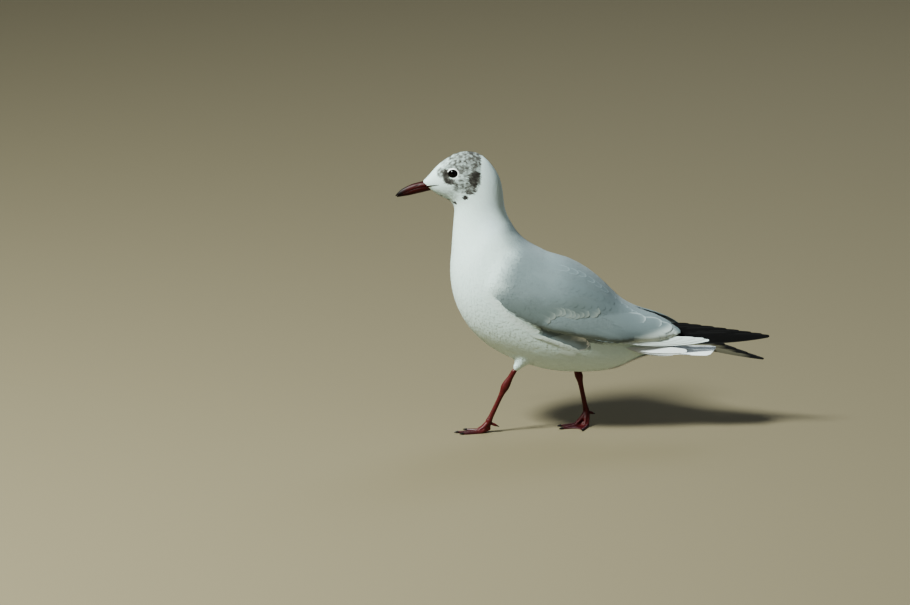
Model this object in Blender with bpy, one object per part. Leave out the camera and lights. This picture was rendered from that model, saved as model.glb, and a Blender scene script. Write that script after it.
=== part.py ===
"""Adult black-headed gull, life size, in mid stride with its wings folded.

Frame: metres, +Z up, the floor at Z = 0, the bill towards -X and the bird's left side
towards -Y. The origin is on the floor, under the middle of the bird's length.

The head, neck and trunk are one lofted form, parted across two of its sections. Each wing
is a crescent-shaped shell draped over the trunk, with the closed secondaries and primaries
as thin blades under it. Lengths below are in millimetres, and points are (x, z) or
(x, y, z), until MM turns them to metres.
"""

import math
from collections import namedtuple

import bmesh
import bpy
from mathutils import Vector
from mathutils.bvhtree import BVHTree

MM = 0.001
GAP = 0.3  # left between two pieces that meet
BLADE_GAP = 0.6  # left round the closed flight feathers
LEFT, RIGHT = -1, 1  # the sign of Y on each side of the bird
SIDES = {"left": LEFT, "right": RIGHT}

# ---------------------------------------------------------------------------------------
# Driving sizes
# ---------------------------------------------------------------------------------------

BODY_SEGMENTS = 28
BODY_FULLNESS = 2.15  # 2 is an ellipse, and more is squarer
RINGS_PER_SECTION = 2

# Sections of the plumage from the bill to the tail. Each lies in the plane through its
# under point and its upper point.
Section = namedtuple("Section", "name under upper half_width")
BODY = (
    Section("bill base", (-158.0, 255.0), (-168.0, 263.3), 4.9),
    Section("lores", (-153.5, 251.5), (-160.0, 271.3), 8.0),
    Section("forehead", (-149.0, 248.8), (-151.6, 280.8), 11.2),
    Section("eye", (-144.5, 246.5), (-141.2, 288.8), 13.8),
    Section("crown", (-140.0, 244.3), (-128.8, 294.9), 15.6),
    Section("ear", (-137.0, 242.0), (-115.2, 295.6), 16.8),
    Section("occiput", (-135.0, 239.5), (-103.2, 290.3), 17.8),
    Section("nape", (-134.2, 236.5), (-93.4, 279.6), 18.6),
    Section("head base", (-134.0, 232.0), (-86.5, 267.5), 19.2),
    Section("upper neck", (-134.5, 225.5), (-83.6, 254.5), 20.0),
    Section("mid neck", (-135.3, 216.0), (-82.5, 243.8), 21.5),
    Section("lower neck", (-136.2, 203.0), (-81.0, 235.0), 24.5),
    Section("neck base", (-137.3, 187.0), (-78.8, 228.2), 29.0),
    Section("shoulder", (-138.3, 170.0), (-75.0, 220.8), 34.5),
    Section("breast", (-136.5, 150.0), (-68.5, 210.5), 39.5),
    Section("fore breast", (-130.5, 130.0), (-58.5, 200.5), 43.5),
    Section("keel", (-118.0, 108.5), (-43.5, 189.5), 45.0),
    Section("belly front", (-98.0, 89.5), (-25.0, 179.5), 45.0),
    Section("belly", (-72.0, 75.5), (-6.0, 168.5), 43.5),
    Section("thighs", (-42.0, 65.5), (12.0, 154.5), 40.5),
    Section("vent", (-12.0, 62.0), (27.0, 139.5), 35.5),
    Section("hind belly", (14.0, 62.5), (40.0, 126.0), 29.5),
    Section("crissum", (35.0, 65.5), (51.0, 114.0), 23.5),
    Section("tail coverts", (51.0, 72.8), (62.0, 104.0), 18.0),
    Section("tail base", (66.0, 78.8), (74.5, 96.5), 13.5),
)
HEAD_ENDS_AT, NECK_ENDS_AT = "head base", "neck base"

EYE_RADIUS = 5.3
EYE_SEGMENTS, EYE_RINGS = 20, 12
EYE_CENTRE = (-134.9, 10.9, 274.8)  # y is for the right eye

BILL_SEGMENTS = 14
BILL_FULLNESS = 2.3

# Sections of each mandible, from the face to the tip.
UPPER_MANDIBLE = (
    Section("base", (-163.6, 259.5), (-168.4, 263.6), 4.3),
    Section("nostril", (-169.5, 258.1), (-172.0, 262.7), 4.0),
    Section("middle", (-175.5, 256.3), (-177.2, 261.2), 3.6),
    Section("fore", (-181.5, 253.9), (-182.4, 258.9), 3.0),
    Section("bend", (-187.0, 251.5), (-187.8, 255.9), 2.4),
    Section("hook", (-191.2, 249.8), (-191.9, 252.6), 1.6),
    Section("tip", (-194.5, 248.1), (-194.8, 249.2), 0.5),
)
LOWER_MANDIBLE = (
    Section("base", (-158.4, 254.7), (-163.4, 259.0), 4.1),
    Section("rami", (-165.5, 252.9), (-169.3, 257.8), 3.7),
    Section("middle", (-173.0, 251.1), (-175.2, 256.0), 3.3),
    Section("gonys", (-180.5, 249.3), (-181.3, 253.6), 2.8),
    Section("bend", (-186.5, 248.3), (-186.9, 251.2), 2.1),
    Section("tip", (-192.8, 247.2), (-193.0, 248.2), 0.5),
)

# A wing's sections run from its low edge, out on the flank, to its high edge. The y values
# are distances from the bird's middle plane.
WingSection = namedtuple("WingSection", "name low low_y high high_y")
WING = (
    WingSection("wrist", (-98.5, 158.0), 40.0, (-96.0, 166.0), 39.5),
    WingSection("fore arm", (-92.5, 150.0), 43.0, (-84.0, 183.0), 34.0),
    WingSection("lesser coverts", (-80.0, 137.5), 46.0, (-62.0, 198.0), 17.0),
    WingSection("shoulder blade", (-62.0, 126.5), 47.5, (-38.0, 188.5), 2.0),
    WingSection("arm", (-42.0, 117.0), 47.5, (-16.0, 182.5), 0.9),
    WingSection("median coverts", (-20.0, 112.0), 46.0, (6.0, 170.5), 0.8),
    WingSection("greater coverts", (4.0, 105.0), 42.5, (24.0, 155.0), 0.7),
    WingSection("scapulars", (28.0, 99.5), 37.5, (39.0, 139.8), 0.7),
    WingSection("tertial base", (52.0, 98.0), 31.5, (56.0, 130.6), 0.8),
    WingSection("tertials", (74.0, 98.5), 26.0, (73.0, 125.5), 2.5),
    WingSection("tertial tips", (92.0, 100.5), 21.0, (89.0, 118.5), 7.0),
    WingSection("end", (103.5, 106.3), 17.0, (102.5, 109.3), 14.5),
)
WING_COLUMNS = 9
WING_FULLNESS = 2.25
WING_EDGE, WING_BULGE = 1.3, 2.6  # how far the wing stands off the trunk
WING_FREE_THICKNESS = 3.0  # where there is no trunk under it
WING_EDGE_THINNING = 0.45  # the free thickness at the edges, as a share
WING_ROOTED = 1.6  # how far the uncut shell reaches into the trunk
WING_AXIS_BELOW = 6.0  # from a section's middle down to the line that it thickens towards
WING_FROM_MIDDLE = 0.5  # the nearest that the two wings come to the bird's middle plane

BLADE_SEGMENTS = 12
BLADE_FULLNESS = 1.6

# A blade's sections: its low and high edges, its distance from the middle plane at the
# low edge and at the high edge, and its thickness.
BladeSection = namedtuple("BladeSection", "low high low_y high_y thickness")
SECONDARIES = (
    BladeSection((12.0, 100.5), (15.0, 105.5), 38.3, 37.6, 1.8),
    BladeSection((26.0, 96.4), (29.0, 105.0), 35.2, 33.3, 2.6),
    BladeSection((50.0, 93.6), (52.0, 104.5), 29.2, 26.2, 2.6),
    BladeSection((78.0, 92.8), (79.0, 104.5), 23.4, 20.2, 2.6),
    BladeSection((104.0, 92.8), (104.0, 103.0), 18.2, 15.6, 2.4),
    BladeSection((122.0, 94.4), (122.0, 101.0), 14.8, 13.4, 2.0),
    BladeSection((131.5, 97.0), (131.5, 98.8), 13.2, 12.9, 1.2),
)
# The left wing's primaries lie level, and the right wing's hang lower.
PRIMARIES = {
    "left": (
        BladeSection((70.0, 96.0), (70.0, 117.0), 17.2, 13.0, 2.6),
        BladeSection((96.0, 94.2), (96.0, 115.6), 14.0, 9.4, 2.8),
        BladeSection((122.0, 93.8), (122.0, 112.0), 11.2, 7.2, 2.8),
        BladeSection((148.0, 94.8), (148.0, 108.0), 9.6, 6.6, 2.4),
        BladeSection((170.0, 96.3), (170.0, 104.2), 8.8, 7.0, 2.0),
        BladeSection((186.0, 98.2), (186.0, 103.4), 8.6, 7.4, 1.5),
        BladeSection((194.5, 100.0), (194.5, 101.4), 8.4, 8.1, 0.8),
    ),
    "right": (
        BladeSection((70.0, 92.0), (70.0, 112.5), 19.8, 17.4, 2.6),
        BladeSection((96.0, 86.6), (96.0, 106.4), 18.4, 15.2, 2.8),
        BladeSection((122.0, 80.6), (122.0, 97.6), 17.2, 14.6, 2.8),
        BladeSection((145.0, 75.8), (145.0, 88.4), 16.4, 14.2, 2.4),
        BladeSection((165.0, 72.8), (165.0, 80.8), 15.8, 14.4, 2.0),
        BladeSection((181.0, 71.2), (181.0, 75.2), 15.4, 14.6, 1.4),
        BladeSection((190.0, 70.6), (190.0, 71.9), 15.2, 15.0, 0.8),
    ),
}

# The closed tail: (x, height of its middle, half-width, thickness)
TAIL = (
    (75.6, 88.0, 11.0, 8.0),
    (90.0, 87.2, 15.0, 5.4),
    (105.0, 86.6, 18.5, 4.0),
    (120.0, 86.2, 21.5, 3.0),
    (132.0, 86.0, 23.0, 2.2),
    (137.0, 85.9, 20.5, 1.8),
    (139.3, 85.9, 13.0, 1.4),
)
TAIL_ARCH = 2.6  # how far the tail's edges droop below its middle at its widest
TAIL_WIDEST = max(half_width for _, _, half_width, _ in TAIL)
TAIL_SEGMENTS = 16
TAIL_FULLNESS = 3.0

# A leg, from the belly down. Points are (x, y, z). The foot heads some degrees inwards or
# outwards of -X, towards -Y, and its toes are spread by degrees towards its outer side.
Leg = namedtuple("Leg", "thigh_top thigh_end hock ankle heading spread lift")
LEGS = {
    "left": Leg(
        (-57, -19, 86), (-70.9, -18.8, 67.4), (-80.5, -18.2, 50.2), (-98.6, -17.8, 10.6),
        5, (-22, 0, 13), 2.4,
    ),
    "right": Leg(
        (-15, 17, 84), (-8.6, 15.6, 63.3), (-3.8, 15.0, 54.6), (4.4, 14.2, 14.8),
        36, (-38, 0, 18), 6.2,
    ),
}
THIGH_RADII = (12.5, 9.6, 5.4, 3.6)
THIGH_TOP_SQUASH = 0.8  # how wide its upper half is, as a share of how deep it is
THIGH_SEGMENTS, SHANK_SEGMENTS, TOE_SEGMENTS, CLAW_SEGMENTS = 14, 12, 8, 8
SHANK_START = 1.2  # from the thigh's end down to the start of the bare leg

# Radii of the bare leg, front to back and across, at shares of its length on each side of
# the hock.
SHANK = (
    ("thigh_end", "hock", 0.00, 2.5, 2.3),
    ("thigh_end", "hock", 0.50, 2.7, 2.3),
    ("thigh_end", "hock", 0.85, 3.9, 2.9),
    ("hock", "ankle", 0.05, 4.1, 3.1),
    ("hock", "ankle", 0.16, 3.0, 2.4),
    ("hock", "ankle", 0.32, 2.35, 1.8),
    ("hock", "ankle", 0.60, 2.3, 1.7),
    ("hock", "ankle", 0.84, 2.5, 2.0),
    ("hock", "ankle", 0.95, 3.2, 2.9),
    ("hock", "ankle", 1.00, 2.8, 2.6),
)

TOES = {"inner": 27.5, "middle": 35.5, "outer": 31.5}  # length without the claw
TOE_HALF_WIDTH = (2.3, 1.25)  # at the base and at the tip
TOE_HEIGHT = (5.2, 2.2)
TOE_ROWS = 9
TOE_COLUMNS = (-1.0, -0.6, 0.0, 0.6, 1.0)  # across a toe, in half-widths
TOE_STARTS = 2.3  # from the point where the toes' rays start
TOE_CROWDING = 0.19  # the most half-width that a toe has, as a share of the way along
TOE_END, TOE_END_DRAWN_IN = 0.1, 0.75  # the share that rounds off, and by how much
WEB_COLUMNS = 3
WEB_THICKNESS = 0.9
WEB_REACH, WEB_NOTCH = 0.93, 0.14  # shares of the toes' length
FOOT_PAD, FOOT_PAD_REACH = 6.7, 6.0  # height under the ankle, and how far it spreads
FOOT_BACK = 4.6  # from the ankle back to where the toes' rays start
LIFT_REACH = 11.0  # how far in front of the ankle a lifted sole comes down
LIFT_FROM = -3.0  # behind this it rises no more
LIFT_CURVE = 1.6
HIND_TOE_LENGTH = 5.5
HIND_TOE = ((0.0, 1.5), (0.4, 1.45), (0.8, 1.2), (1.0, 0.85))  # (share along, radius)
HIND_TOE_BACK, HIND_TOE_DOWN = 3.9, 1.2  # from the ankle to its base
HIND_TOE_SLOPE = 0.42

# A claw: its length, its radius at its base and how far it bends down, in degrees.
Claw = namedtuple("Claw", "length radius drop")
FRONT_CLAW, HIND_CLAW = Claw(4.6, 1.05, 13), Claw(2.6, 0.62, 8)
CLAW_BASE_HEIGHT = 1.36
CLAW_RINGS = 4
CLAW_TIP_RADIUS, CLAW_TAPER, CLAW_SQUASH = 0.22, 0.7, 0.85

FINISHES = {
    "white_plumage": ((0.86, 0.88, 0.88), 0.85),
    "grey_plumage": ((0.42, 0.46, 0.48), 0.80),
    "pale_plumage": ((0.72, 0.74, 0.74), 0.80),
    "black_plumage": ((0.015, 0.014, 0.016), 0.60),
    "head_plumage": ((0.55, 0.54, 0.52), 0.85),
    "bill_horn": ((0.16, 0.018, 0.016), 0.35),
    "leg_skin": ((0.30, 0.035, 0.025), 0.50),
    "claw_horn": ((0.02, 0.016, 0.016), 0.35),
    "eye": ((0.012, 0.008, 0.006), 0.08),
}


# ---------------------------------------------------------------------------------------
# Helpers
# ---------------------------------------------------------------------------------------


def clear_scene():
    """Removes every object that is there at the start."""
    for obj in list(bpy.data.objects):
        bpy.data.objects.remove(obj, do_unlink=True)


def collection(name):
    """A new collection in the scene."""
    made = bpy.data.collections.new(name)
    bpy.context.scene.collection.children.link(made)
    return made


def finish(name):
    """The Principled material of a finish, made once."""
    material = bpy.data.materials.get(name)
    if material is None:
        colour, roughness = FINISHES[name]
        material = bpy.data.materials.new(name)
        material.use_nodes = True
        shader = material.node_tree.nodes["Principled BSDF"]
        shader.inputs["Base Color"].default_value = (*colour, 1.0)
        shader.inputs["Roughness"].default_value = roughness
        shader.inputs["Metallic"].default_value = 0.0
    return material


def add_object(name, mesh, finish_name, where):
    """A mesh object with one finish, linked to a collection."""
    obj = bpy.data.objects.new(name, mesh)
    if finish_name:
        mesh.materials.append(finish(finish_name))
    where.objects.link(obj)
    return obj


def blend(points, share):
    """Catmull-Rom value at share (0 to 1) of the middle span of four points."""
    before, start, end, after = points
    return (
        start * 2
        + (end - before) * share
        + (before * 2 - start * 5 + end * 4 - after) * share**2
        + (start * 3 - before - end * 3 + after) * share**3
    ) * 0.5


def smoothed(rings, steps):
    """The rings with steps - 1 more between each two, on a smooth curve through them."""
    made = []
    for i in range(len(rings) - 1):
        around = [rings[max(0, min(len(rings) - 1, i + k))] for k in (-1, 0, 1, 2)]
        for step in range(steps):
            made.append([blend(points, step / steps) for points in zip(*around)])
    made.append(list(rings[-1]))
    return made


def loft(name, rings, finish_name, where):
    """One closed solid through rings of points in millimetres, with flat ends."""
    bm = bmesh.new()
    rows = [[bm.verts.new(point * MM) for point in ring] for ring in rings]
    count = len(rows[0])
    for lower, upper in zip(rows, rows[1:]):
        for i in range(count):
            j = (i + 1) % count
            bm.faces.new((lower[i], lower[j], upper[j], upper[i]))
    bm.faces.new(rows[0])
    bm.faces.new(rows[-1])
    bmesh.ops.triangulate(bm, faces=bm.faces)  # so that a grown copy bends the same way
    bmesh.ops.recalc_face_normals(bm, faces=bm.faces)
    mesh = bpy.data.meshes.new(name)
    bm.to_mesh(mesh)
    bm.free()
    mesh.shade_smooth()
    mesh.set_sharp_from_angle(angle=math.radians(40))
    return add_object(name, mesh, finish_name, where)


def rounded(value, fullness):
    """A sine or cosine bent towards a superellipse."""
    return math.copysign(abs(value) ** (2 / fullness), value)


def oval(section, count, fullness):
    """A ring of points round a section."""
    under = Vector((section.under[0], 0, section.under[1]))
    upper = Vector((section.upper[0], 0, section.upper[1]))
    centre, half = (under + upper) / 2, (upper - under) / 2
    across = Vector((0, section.half_width, 0))
    turns = [math.tau * i / count for i in range(count)]
    return [
        centre
        + across * rounded(math.cos(turn), fullness)
        + half * rounded(math.sin(turn), fullness)
        for turn in turns
    ]


def spherical(name, radius, centre, finish_name, where):
    """A UV sphere in millimetres, looking along Y."""
    bm = bmesh.new()
    bmesh.ops.create_uvsphere(
        bm, u_segments=EYE_SEGMENTS, v_segments=EYE_RINGS, radius=radius * MM
    )
    bmesh.ops.rotate(
        bm, verts=bm.verts, matrix=Vector((0, 1, 0)).to_track_quat("Z", "Y").to_matrix()
    )
    mesh = bpy.data.meshes.new(name)
    bm.to_mesh(mesh)
    bm.free()
    mesh.shade_smooth()
    obj = add_object(name, mesh, finish_name, where)
    obj.location = Vector(centre) * MM
    return obj


def cut(obj, cutter):
    """Takes the cutter's shape out of the object, with a Boolean."""
    cutter.hide_render = True
    cutter.display_type = "WIRE"
    modifier = obj.modifiers.new("clear of " + cutter.name, "BOOLEAN")
    modifier.operation = "DIFFERENCE"
    modifier.solver = "EXACT"
    modifier.object = cutter


def clear_of(obj, others, cutters, gap=GAP):
    """Cuts the object back so that it keeps a gap to each of the others, uncut."""
    for other in others:
        grown = bpy.data.objects.new(f"{obj.name}_cut_by_{other.name}", other.data.copy())
        cutters.objects.link(grown)
        displace = grown.modifiers.new("gap", "DISPLACE")
        displace.strength = gap * MM
        displace.mid_level = 0.0
        cut(obj, grown)


# ---------------------------------------------------------------------------------------
# Head, neck and trunk
# ---------------------------------------------------------------------------------------


def body_rings():
    """Every ring of the body, and the index of the ring at each named section."""
    coarse = [oval(section, BODY_SEGMENTS, BODY_FULLNESS) for section in BODY]
    index = {section.name: i * RINGS_PER_SECTION for i, section in enumerate(BODY)}
    return smoothed(coarse, RINGS_PER_SECTION), index


def set_back(ring, towards):
    """A ring moved half a gap towards the next one, to leave a thin cut."""
    step = sum(towards, Vector()) / len(towards) - sum(ring, Vector()) / len(ring)
    return [point + step.normalized() * GAP / 2 for point in ring]


def body_length(name, rings, first, last, finish_name, where):
    """The solid between two rings of the body."""
    span = rings[first : last + 1]
    span = [set_back(span[0], span[1]), *span[1:-1], set_back(span[-1], span[-2])]
    return loft(name, span, finish_name, where)


def build_body(parts):
    """The head, neck and trunk."""
    rings, index = body_rings()
    head_end, neck_end = index[HEAD_ENDS_AT], index[NECK_ENDS_AT]
    head = body_length("head", rings, 0, head_end, "head_plumage", parts)
    neck = body_length("neck", rings, head_end, neck_end, "white_plumage", parts)
    trunk = body_length(
        "trunk", rings, neck_end, len(rings) - 1, "white_plumage", parts
    )
    return head, neck, trunk


def build_eyes(head, parts, cutters):
    """The eyes, each in a socket cut into the head."""
    x, y, z = EYE_CENTRE
    for side, sign in SIDES.items():
        spherical(f"eye_{side}", EYE_RADIUS, (x, sign * y, z), "eye", parts)
        socket = spherical(
            f"socket_{side}", EYE_RADIUS + GAP, (x, sign * y, z), None, cutters
        )
        cut(head, socket)


def build_bill(parts):
    """The two mandibles, which meet the face and each other with a thin gap."""
    for name, sections in (
        ("bill_upper", UPPER_MANDIBLE),
        ("bill_lower", LOWER_MANDIBLE),
    ):
        rings = [oval(section, BILL_SEGMENTS, BILL_FULLNESS) for section in sections]
        loft(name, smoothed(rings, RINGS_PER_SECTION), "bill_horn", parts)


# ---------------------------------------------------------------------------------------
# Wings and tail
# ---------------------------------------------------------------------------------------


def off_surface(tree, point, least):
    """The point, moved out if it is less than least off the surface, and its distance."""
    nearest, normal, _, _ = tree.find_nearest(point * MM)
    height = (point * MM - nearest).dot(normal) / MM
    if height >= least:
        return point, height
    return nearest / MM + normal * least, least


def wing_arc(section, sign):
    """The points of a wing's outer face along one section, from low edge to high edge."""
    low = Vector((section.low[0], 0, section.low[1]))
    high = Vector((section.high[0], 0, section.high[1]))
    points = []
    for column in range(WING_COLUMNS):
        turn = math.pi / 2 * column / (WING_COLUMNS - 1)
        rise = rounded(math.sin(turn), WING_FULLNESS)
        spread = rounded(math.cos(turn), WING_FULLNESS)
        y = section.high_y + (section.low_y - section.high_y) * spread
        points.append(low.lerp(high, rise) + Vector((0, sign * y, 0)))
    return points


def wing_ring(arc, tree, sign, share):
    """A closed crescent: the arc stood off the trunk, and back along its inner face."""
    outer, inner = [], []
    middle = sum(arc, Vector()) / len(arc)
    axis = Vector((middle.x, 0, middle.z - WING_AXIS_BELOW))
    for column, point in enumerate(arc):
        across = column / (WING_COLUMNS - 1)
        plump = math.sin(math.pi * across) ** 0.7 * math.sin(math.pi * share) ** 0.5
        stood, height = off_surface(tree, point, WING_EDGE + WING_BULGE * plump)
        inward = (axis - stood).normalized()
        thinning = WING_EDGE_THINNING + (1 - WING_EDGE_THINNING) * plump
        thickness = WING_FREE_THICKNESS * thinning
        if height < 2 * WING_FREE_THICKNESS:
            thickness = max(thickness, height + WING_ROOTED)
        stood.y = sign * max(sign * stood.y, WING_FROM_MIDDLE)
        rooted = stood + inward * thickness
        rooted.y = sign * max(sign * rooted.y, WING_FROM_MIDDLE)
        outer.append(stood)
        inner.append(rooted)
    return outer + inner[::-1]


def build_wing(side, trunk, parts, cutters):
    """The arm of a wing with its coverts, scapulars and tertials, as a draped shell."""
    sign = SIDES[side]
    graph = bpy.context.evaluated_depsgraph_get()
    tree = BVHTree.FromObject(trunk, graph)
    arcs = smoothed([wing_arc(section, sign) for section in WING], RINGS_PER_SECTION)
    rings = [
        wing_ring(arc, tree, sign, i / (len(arcs) - 1)) for i, arc in enumerate(arcs)
    ]
    wing = loft(f"wing_{side}", rings, "grey_plumage", parts)
    clear_of(wing, [trunk], cutters)
    return wing


def blade_ring(section, sign):
    """A thin lens-shaped ring round a blade's section."""
    low = Vector((section.low[0], sign * section.low_y, section.low[1]))
    high = Vector((section.high[0], sign * section.high_y, section.high[1]))
    half, centre = (high - low) / 2, (low + high) / 2
    out = half.cross(Vector((1, 0, 0))).normalized() * section.thickness / 2
    turns = [math.tau * i / BLADE_SEGMENTS for i in range(BLADE_SEGMENTS)]
    return [
        centre + half * math.sin(turn) + out * rounded(math.cos(turn), BLADE_FULLNESS)
        for turn in turns
    ]


def build_blade(name, sections, side, finish_name, parts):
    """A bundle of closed flight feathers."""
    rings = [blade_ring(section, SIDES[side]) for section in sections]
    return loft(name, smoothed(rings, RINGS_PER_SECTION), finish_name, parts)


def tail_ring(x, height, half_width, thickness):
    """A flat, slightly arched ring across the tail."""
    ring = []
    for i in range(TAIL_SEGMENTS):
        turn = math.tau * i / TAIL_SEGMENTS
        across = rounded(math.cos(turn), TAIL_FULLNESS)
        droop = TAIL_ARCH * across**2 * half_width / TAIL_WIDEST
        z = height + math.sin(turn) * thickness / 2 - droop
        ring.append(Vector((x, across * half_width, z)))
    return ring


def build_tail(parts):
    """The closed tail feathers."""
    rings = [tail_ring(*section) for section in TAIL]
    return loft("tail", smoothed(rings, RINGS_PER_SECTION), "white_plumage", parts)


# ---------------------------------------------------------------------------------------
# Legs and feet
# ---------------------------------------------------------------------------------------


def round_ring(centre, direction, deep, wide, count):
    """A ring round a leg: deep from front to back, and wide across."""
    across = Vector((0, 1, 0))
    front = direction.cross(across).normalized()
    side = front.cross(direction).normalized()
    turns = [math.tau * i / count for i in range(count)]
    return [
        centre + side * wide * math.cos(turn) + front * deep * math.sin(turn)
        for turn in turns
    ]


def build_thigh(side, trunk, parts, cutters):
    """The feathered part of the leg that shows below the belly."""
    leg = LEGS[side]
    top, end = Vector(leg.thigh_top), Vector(leg.thigh_end)
    direction = (end - top).normalized()
    rings = []
    for i, radius in enumerate(THIGH_RADII):
        centre = top.lerp(end, i / (len(THIGH_RADII) - 1))
        wide = radius * (THIGH_TOP_SQUASH if i < len(THIGH_RADII) / 2 else 1.0)
        rings.append(round_ring(centre, direction, radius, wide, THIGH_SEGMENTS))
    rings = smoothed(rings, RINGS_PER_SECTION)
    thigh = loft(f"thigh_{side}", rings, "white_plumage", parts)
    clear_of(thigh, [trunk], cutters)
    return thigh


def build_shank(side, parts):
    """The bare leg: the end of the tibia, the hock and the tarsus."""
    leg = LEGS[side]
    rings = []
    for start, end, share, deep, wide in SHANK:
        upper, lower = Vector(getattr(leg, start)), Vector(getattr(leg, end))
        direction = (lower - upper).normalized()
        centre = upper.lerp(lower, share)
        rings.append(round_ring(centre, direction, deep, wide, SHANK_SEGMENTS))
    step = (Vector(leg.hock) - Vector(leg.thigh_end)).normalized() * SHANK_START
    rings[0] = [point + step for point in rings[0]]
    return loft(f"shank_{side}", smoothed(rings, RINGS_PER_SECTION), "leg_skin", parts)


def toe_direction(side, offset):
    """A level direction, offset degrees outwards from the way that the foot points."""
    turn = math.radians(LEGS[side].heading - SIDES[side] * offset)
    return Vector((-math.cos(turn), -math.sin(turn), 0))


def foot_rise(side, distance):
    """How high the sole is, at a distance in front of the ankle."""
    share = max(0.0, 1 - max(distance, LIFT_FROM) / LIFT_REACH)
    return LEGS[side].lift * share**LIFT_CURVE


def foot_origin(side):
    """The point on the floor where the toes' rays start."""
    ankle = Vector(LEGS[side].ankle)
    back = toe_direction(side, 0) * FOOT_BACK
    return Vector((ankle.x, ankle.y, 0)) - back


def toe_columns(side, row):
    """(point on the floor, height) across the foot at one row, inner side first."""
    share = row / TOE_ROWS
    strips = []
    for offset, length in zip(LEGS[side].spread, TOES.values()):
        ray = toe_direction(side, offset)
        outwards = toe_direction(side, offset + 90)
        distance = TOE_STARTS + (length - TOE_STARTS) * share
        base, tip = TOE_HALF_WIDTH
        half = min(base + (tip - base) * share, distance * TOE_CROWDING)
        ending = max(0.0, (share - 1) / TOE_END + 1)
        half *= math.sqrt(1 - ending**2 * TOE_END_DRAWN_IN)
        height = TOE_HEIGHT[0] + (TOE_HEIGHT[1] - TOE_HEIGHT[0]) * math.sqrt(share)
        strips.append((ray * distance, outwards * half, height))
    columns = []
    for i, (middle, half, height) in enumerate(strips):
        for k in TOE_COLUMNS:
            rise = WEB_THICKNESS + (height - WEB_THICKNESS) * math.sqrt(1 - k * k)
            columns.append((middle + half * k, rise))
        if i + 1 < len(strips):
            here = middle * WEB_REACH + half
            there = strips[i + 1][0] * WEB_REACH - strips[i + 1][1]
            for k in range(1, WEB_COLUMNS + 1):
                across = k / (WEB_COLUMNS + 1)
                drawn_in = 1 - WEB_NOTCH * share**2 * math.sin(math.pi * across)
                columns.append((here.lerp(there, across) * drawn_in, WEB_THICKNESS))
    return columns


def build_foot(side, parts):
    """The three front toes and the webs between them, flat where they meet the floor."""
    origin = foot_origin(side)
    bm = bmesh.new()
    top, sole = [], []
    for row in range(TOE_ROWS + 1):
        upper_row, lower_row = [], []
        for point, height in toe_columns(side, row):
            rise = foot_rise(side, point.length - FOOT_BACK)
            spread = (point.length - FOOT_BACK) / FOOT_PAD_REACH
            height = max(height, FOOT_PAD * math.exp(-(spread**2)))
            ground = origin + point + Vector((0, 0, rise))
            upper_row.append(bm.verts.new((ground + Vector((0, 0, height))) * MM))
            lower_row.append(bm.verts.new(ground * MM))
        top.append(upper_row)
        sole.append(lower_row)
    for rows, flip in ((top, False), (sole, True)):
        for near, far in zip(rows, rows[1:]):
            for i in range(len(near) - 1):
                face = (near[i], far[i], far[i + 1], near[i + 1])
                bm.faces.new(face[::-1] if flip else face)
    rim_top = [row[0] for row in top] + top[-1][1:] + [row[-1] for row in top[-2::-1]]
    rim_sole = [row[0] for row in sole] + sole[-1][1:] + [row[-1] for row in sole[-2::-1]]
    rim_top += top[0][-2:0:-1]
    rim_sole += sole[0][-2:0:-1]
    for i in range(len(rim_top)):
        j = (i + 1) % len(rim_top)
        bm.faces.new((rim_top[i], rim_top[j], rim_sole[j], rim_sole[i]))
    bmesh.ops.recalc_face_normals(bm, faces=bm.faces)
    mesh = bpy.data.meshes.new(f"foot_{side}")
    bm.to_mesh(mesh)
    bm.free()
    mesh.shade_smooth()
    mesh.set_sharp_from_angle(angle=math.radians(50))
    return add_object(f"foot_{side}", mesh, "leg_skin", parts)


def build_claw(name, claw, base, direction, parts):
    """A cone that bends downwards towards a blunt tip."""
    rings = []
    point, turn = base, 0.0
    for i in range(CLAW_RINGS + 1):
        share = i / CLAW_RINGS
        aim = direction * math.cos(turn) - Vector((0, 0, 1)) * math.sin(turn)
        size = claw.radius * (1 - share) ** CLAW_TAPER + CLAW_TIP_RADIUS
        rings.append(round_ring(point, aim, size, size * CLAW_SQUASH, CLAW_SEGMENTS))
        point = point + aim * claw.length / CLAW_RINGS
        turn += math.radians(claw.drop) / CLAW_RINGS
    return loft(name, rings, "claw_horn", parts)


def build_claws(side, parts):
    """The claws of the front toes."""
    origin = foot_origin(side)
    for offset, (name, length) in zip(LEGS[side].spread, TOES.items()):
        ray = toe_direction(side, offset)
        base = origin + ray * (length + GAP) + Vector((0, 0, CLAW_BASE_HEIGHT))
        build_claw(f"claw_{side}_{name}", FRONT_CLAW, base, ray, parts)


def build_hind_toe(side, parts):
    """The small raised hind toe and its claw, behind the ankle."""
    leg = LEGS[side]
    back = -toe_direction(side, 0)
    start = Vector(leg.ankle) + back * HIND_TOE_BACK - Vector((0, 0, HIND_TOE_DOWN))
    aim = (back - Vector((0, 0, HIND_TOE_SLOPE))).normalized()
    rings = []
    for share, radius in HIND_TOE:
        centre = start + aim * HIND_TOE_LENGTH * share
        rings.append(round_ring(centre, aim, radius, radius, TOE_SEGMENTS))
    loft(f"hind_toe_{side}", rings, "leg_skin", parts)
    base = start + aim * (HIND_TOE_LENGTH + GAP)
    build_claw(f"claw_{side}_hind", HIND_CLAW, base, aim, parts)


# ---------------------------------------------------------------------------------------
# The whole bird
# ---------------------------------------------------------------------------------------


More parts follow.
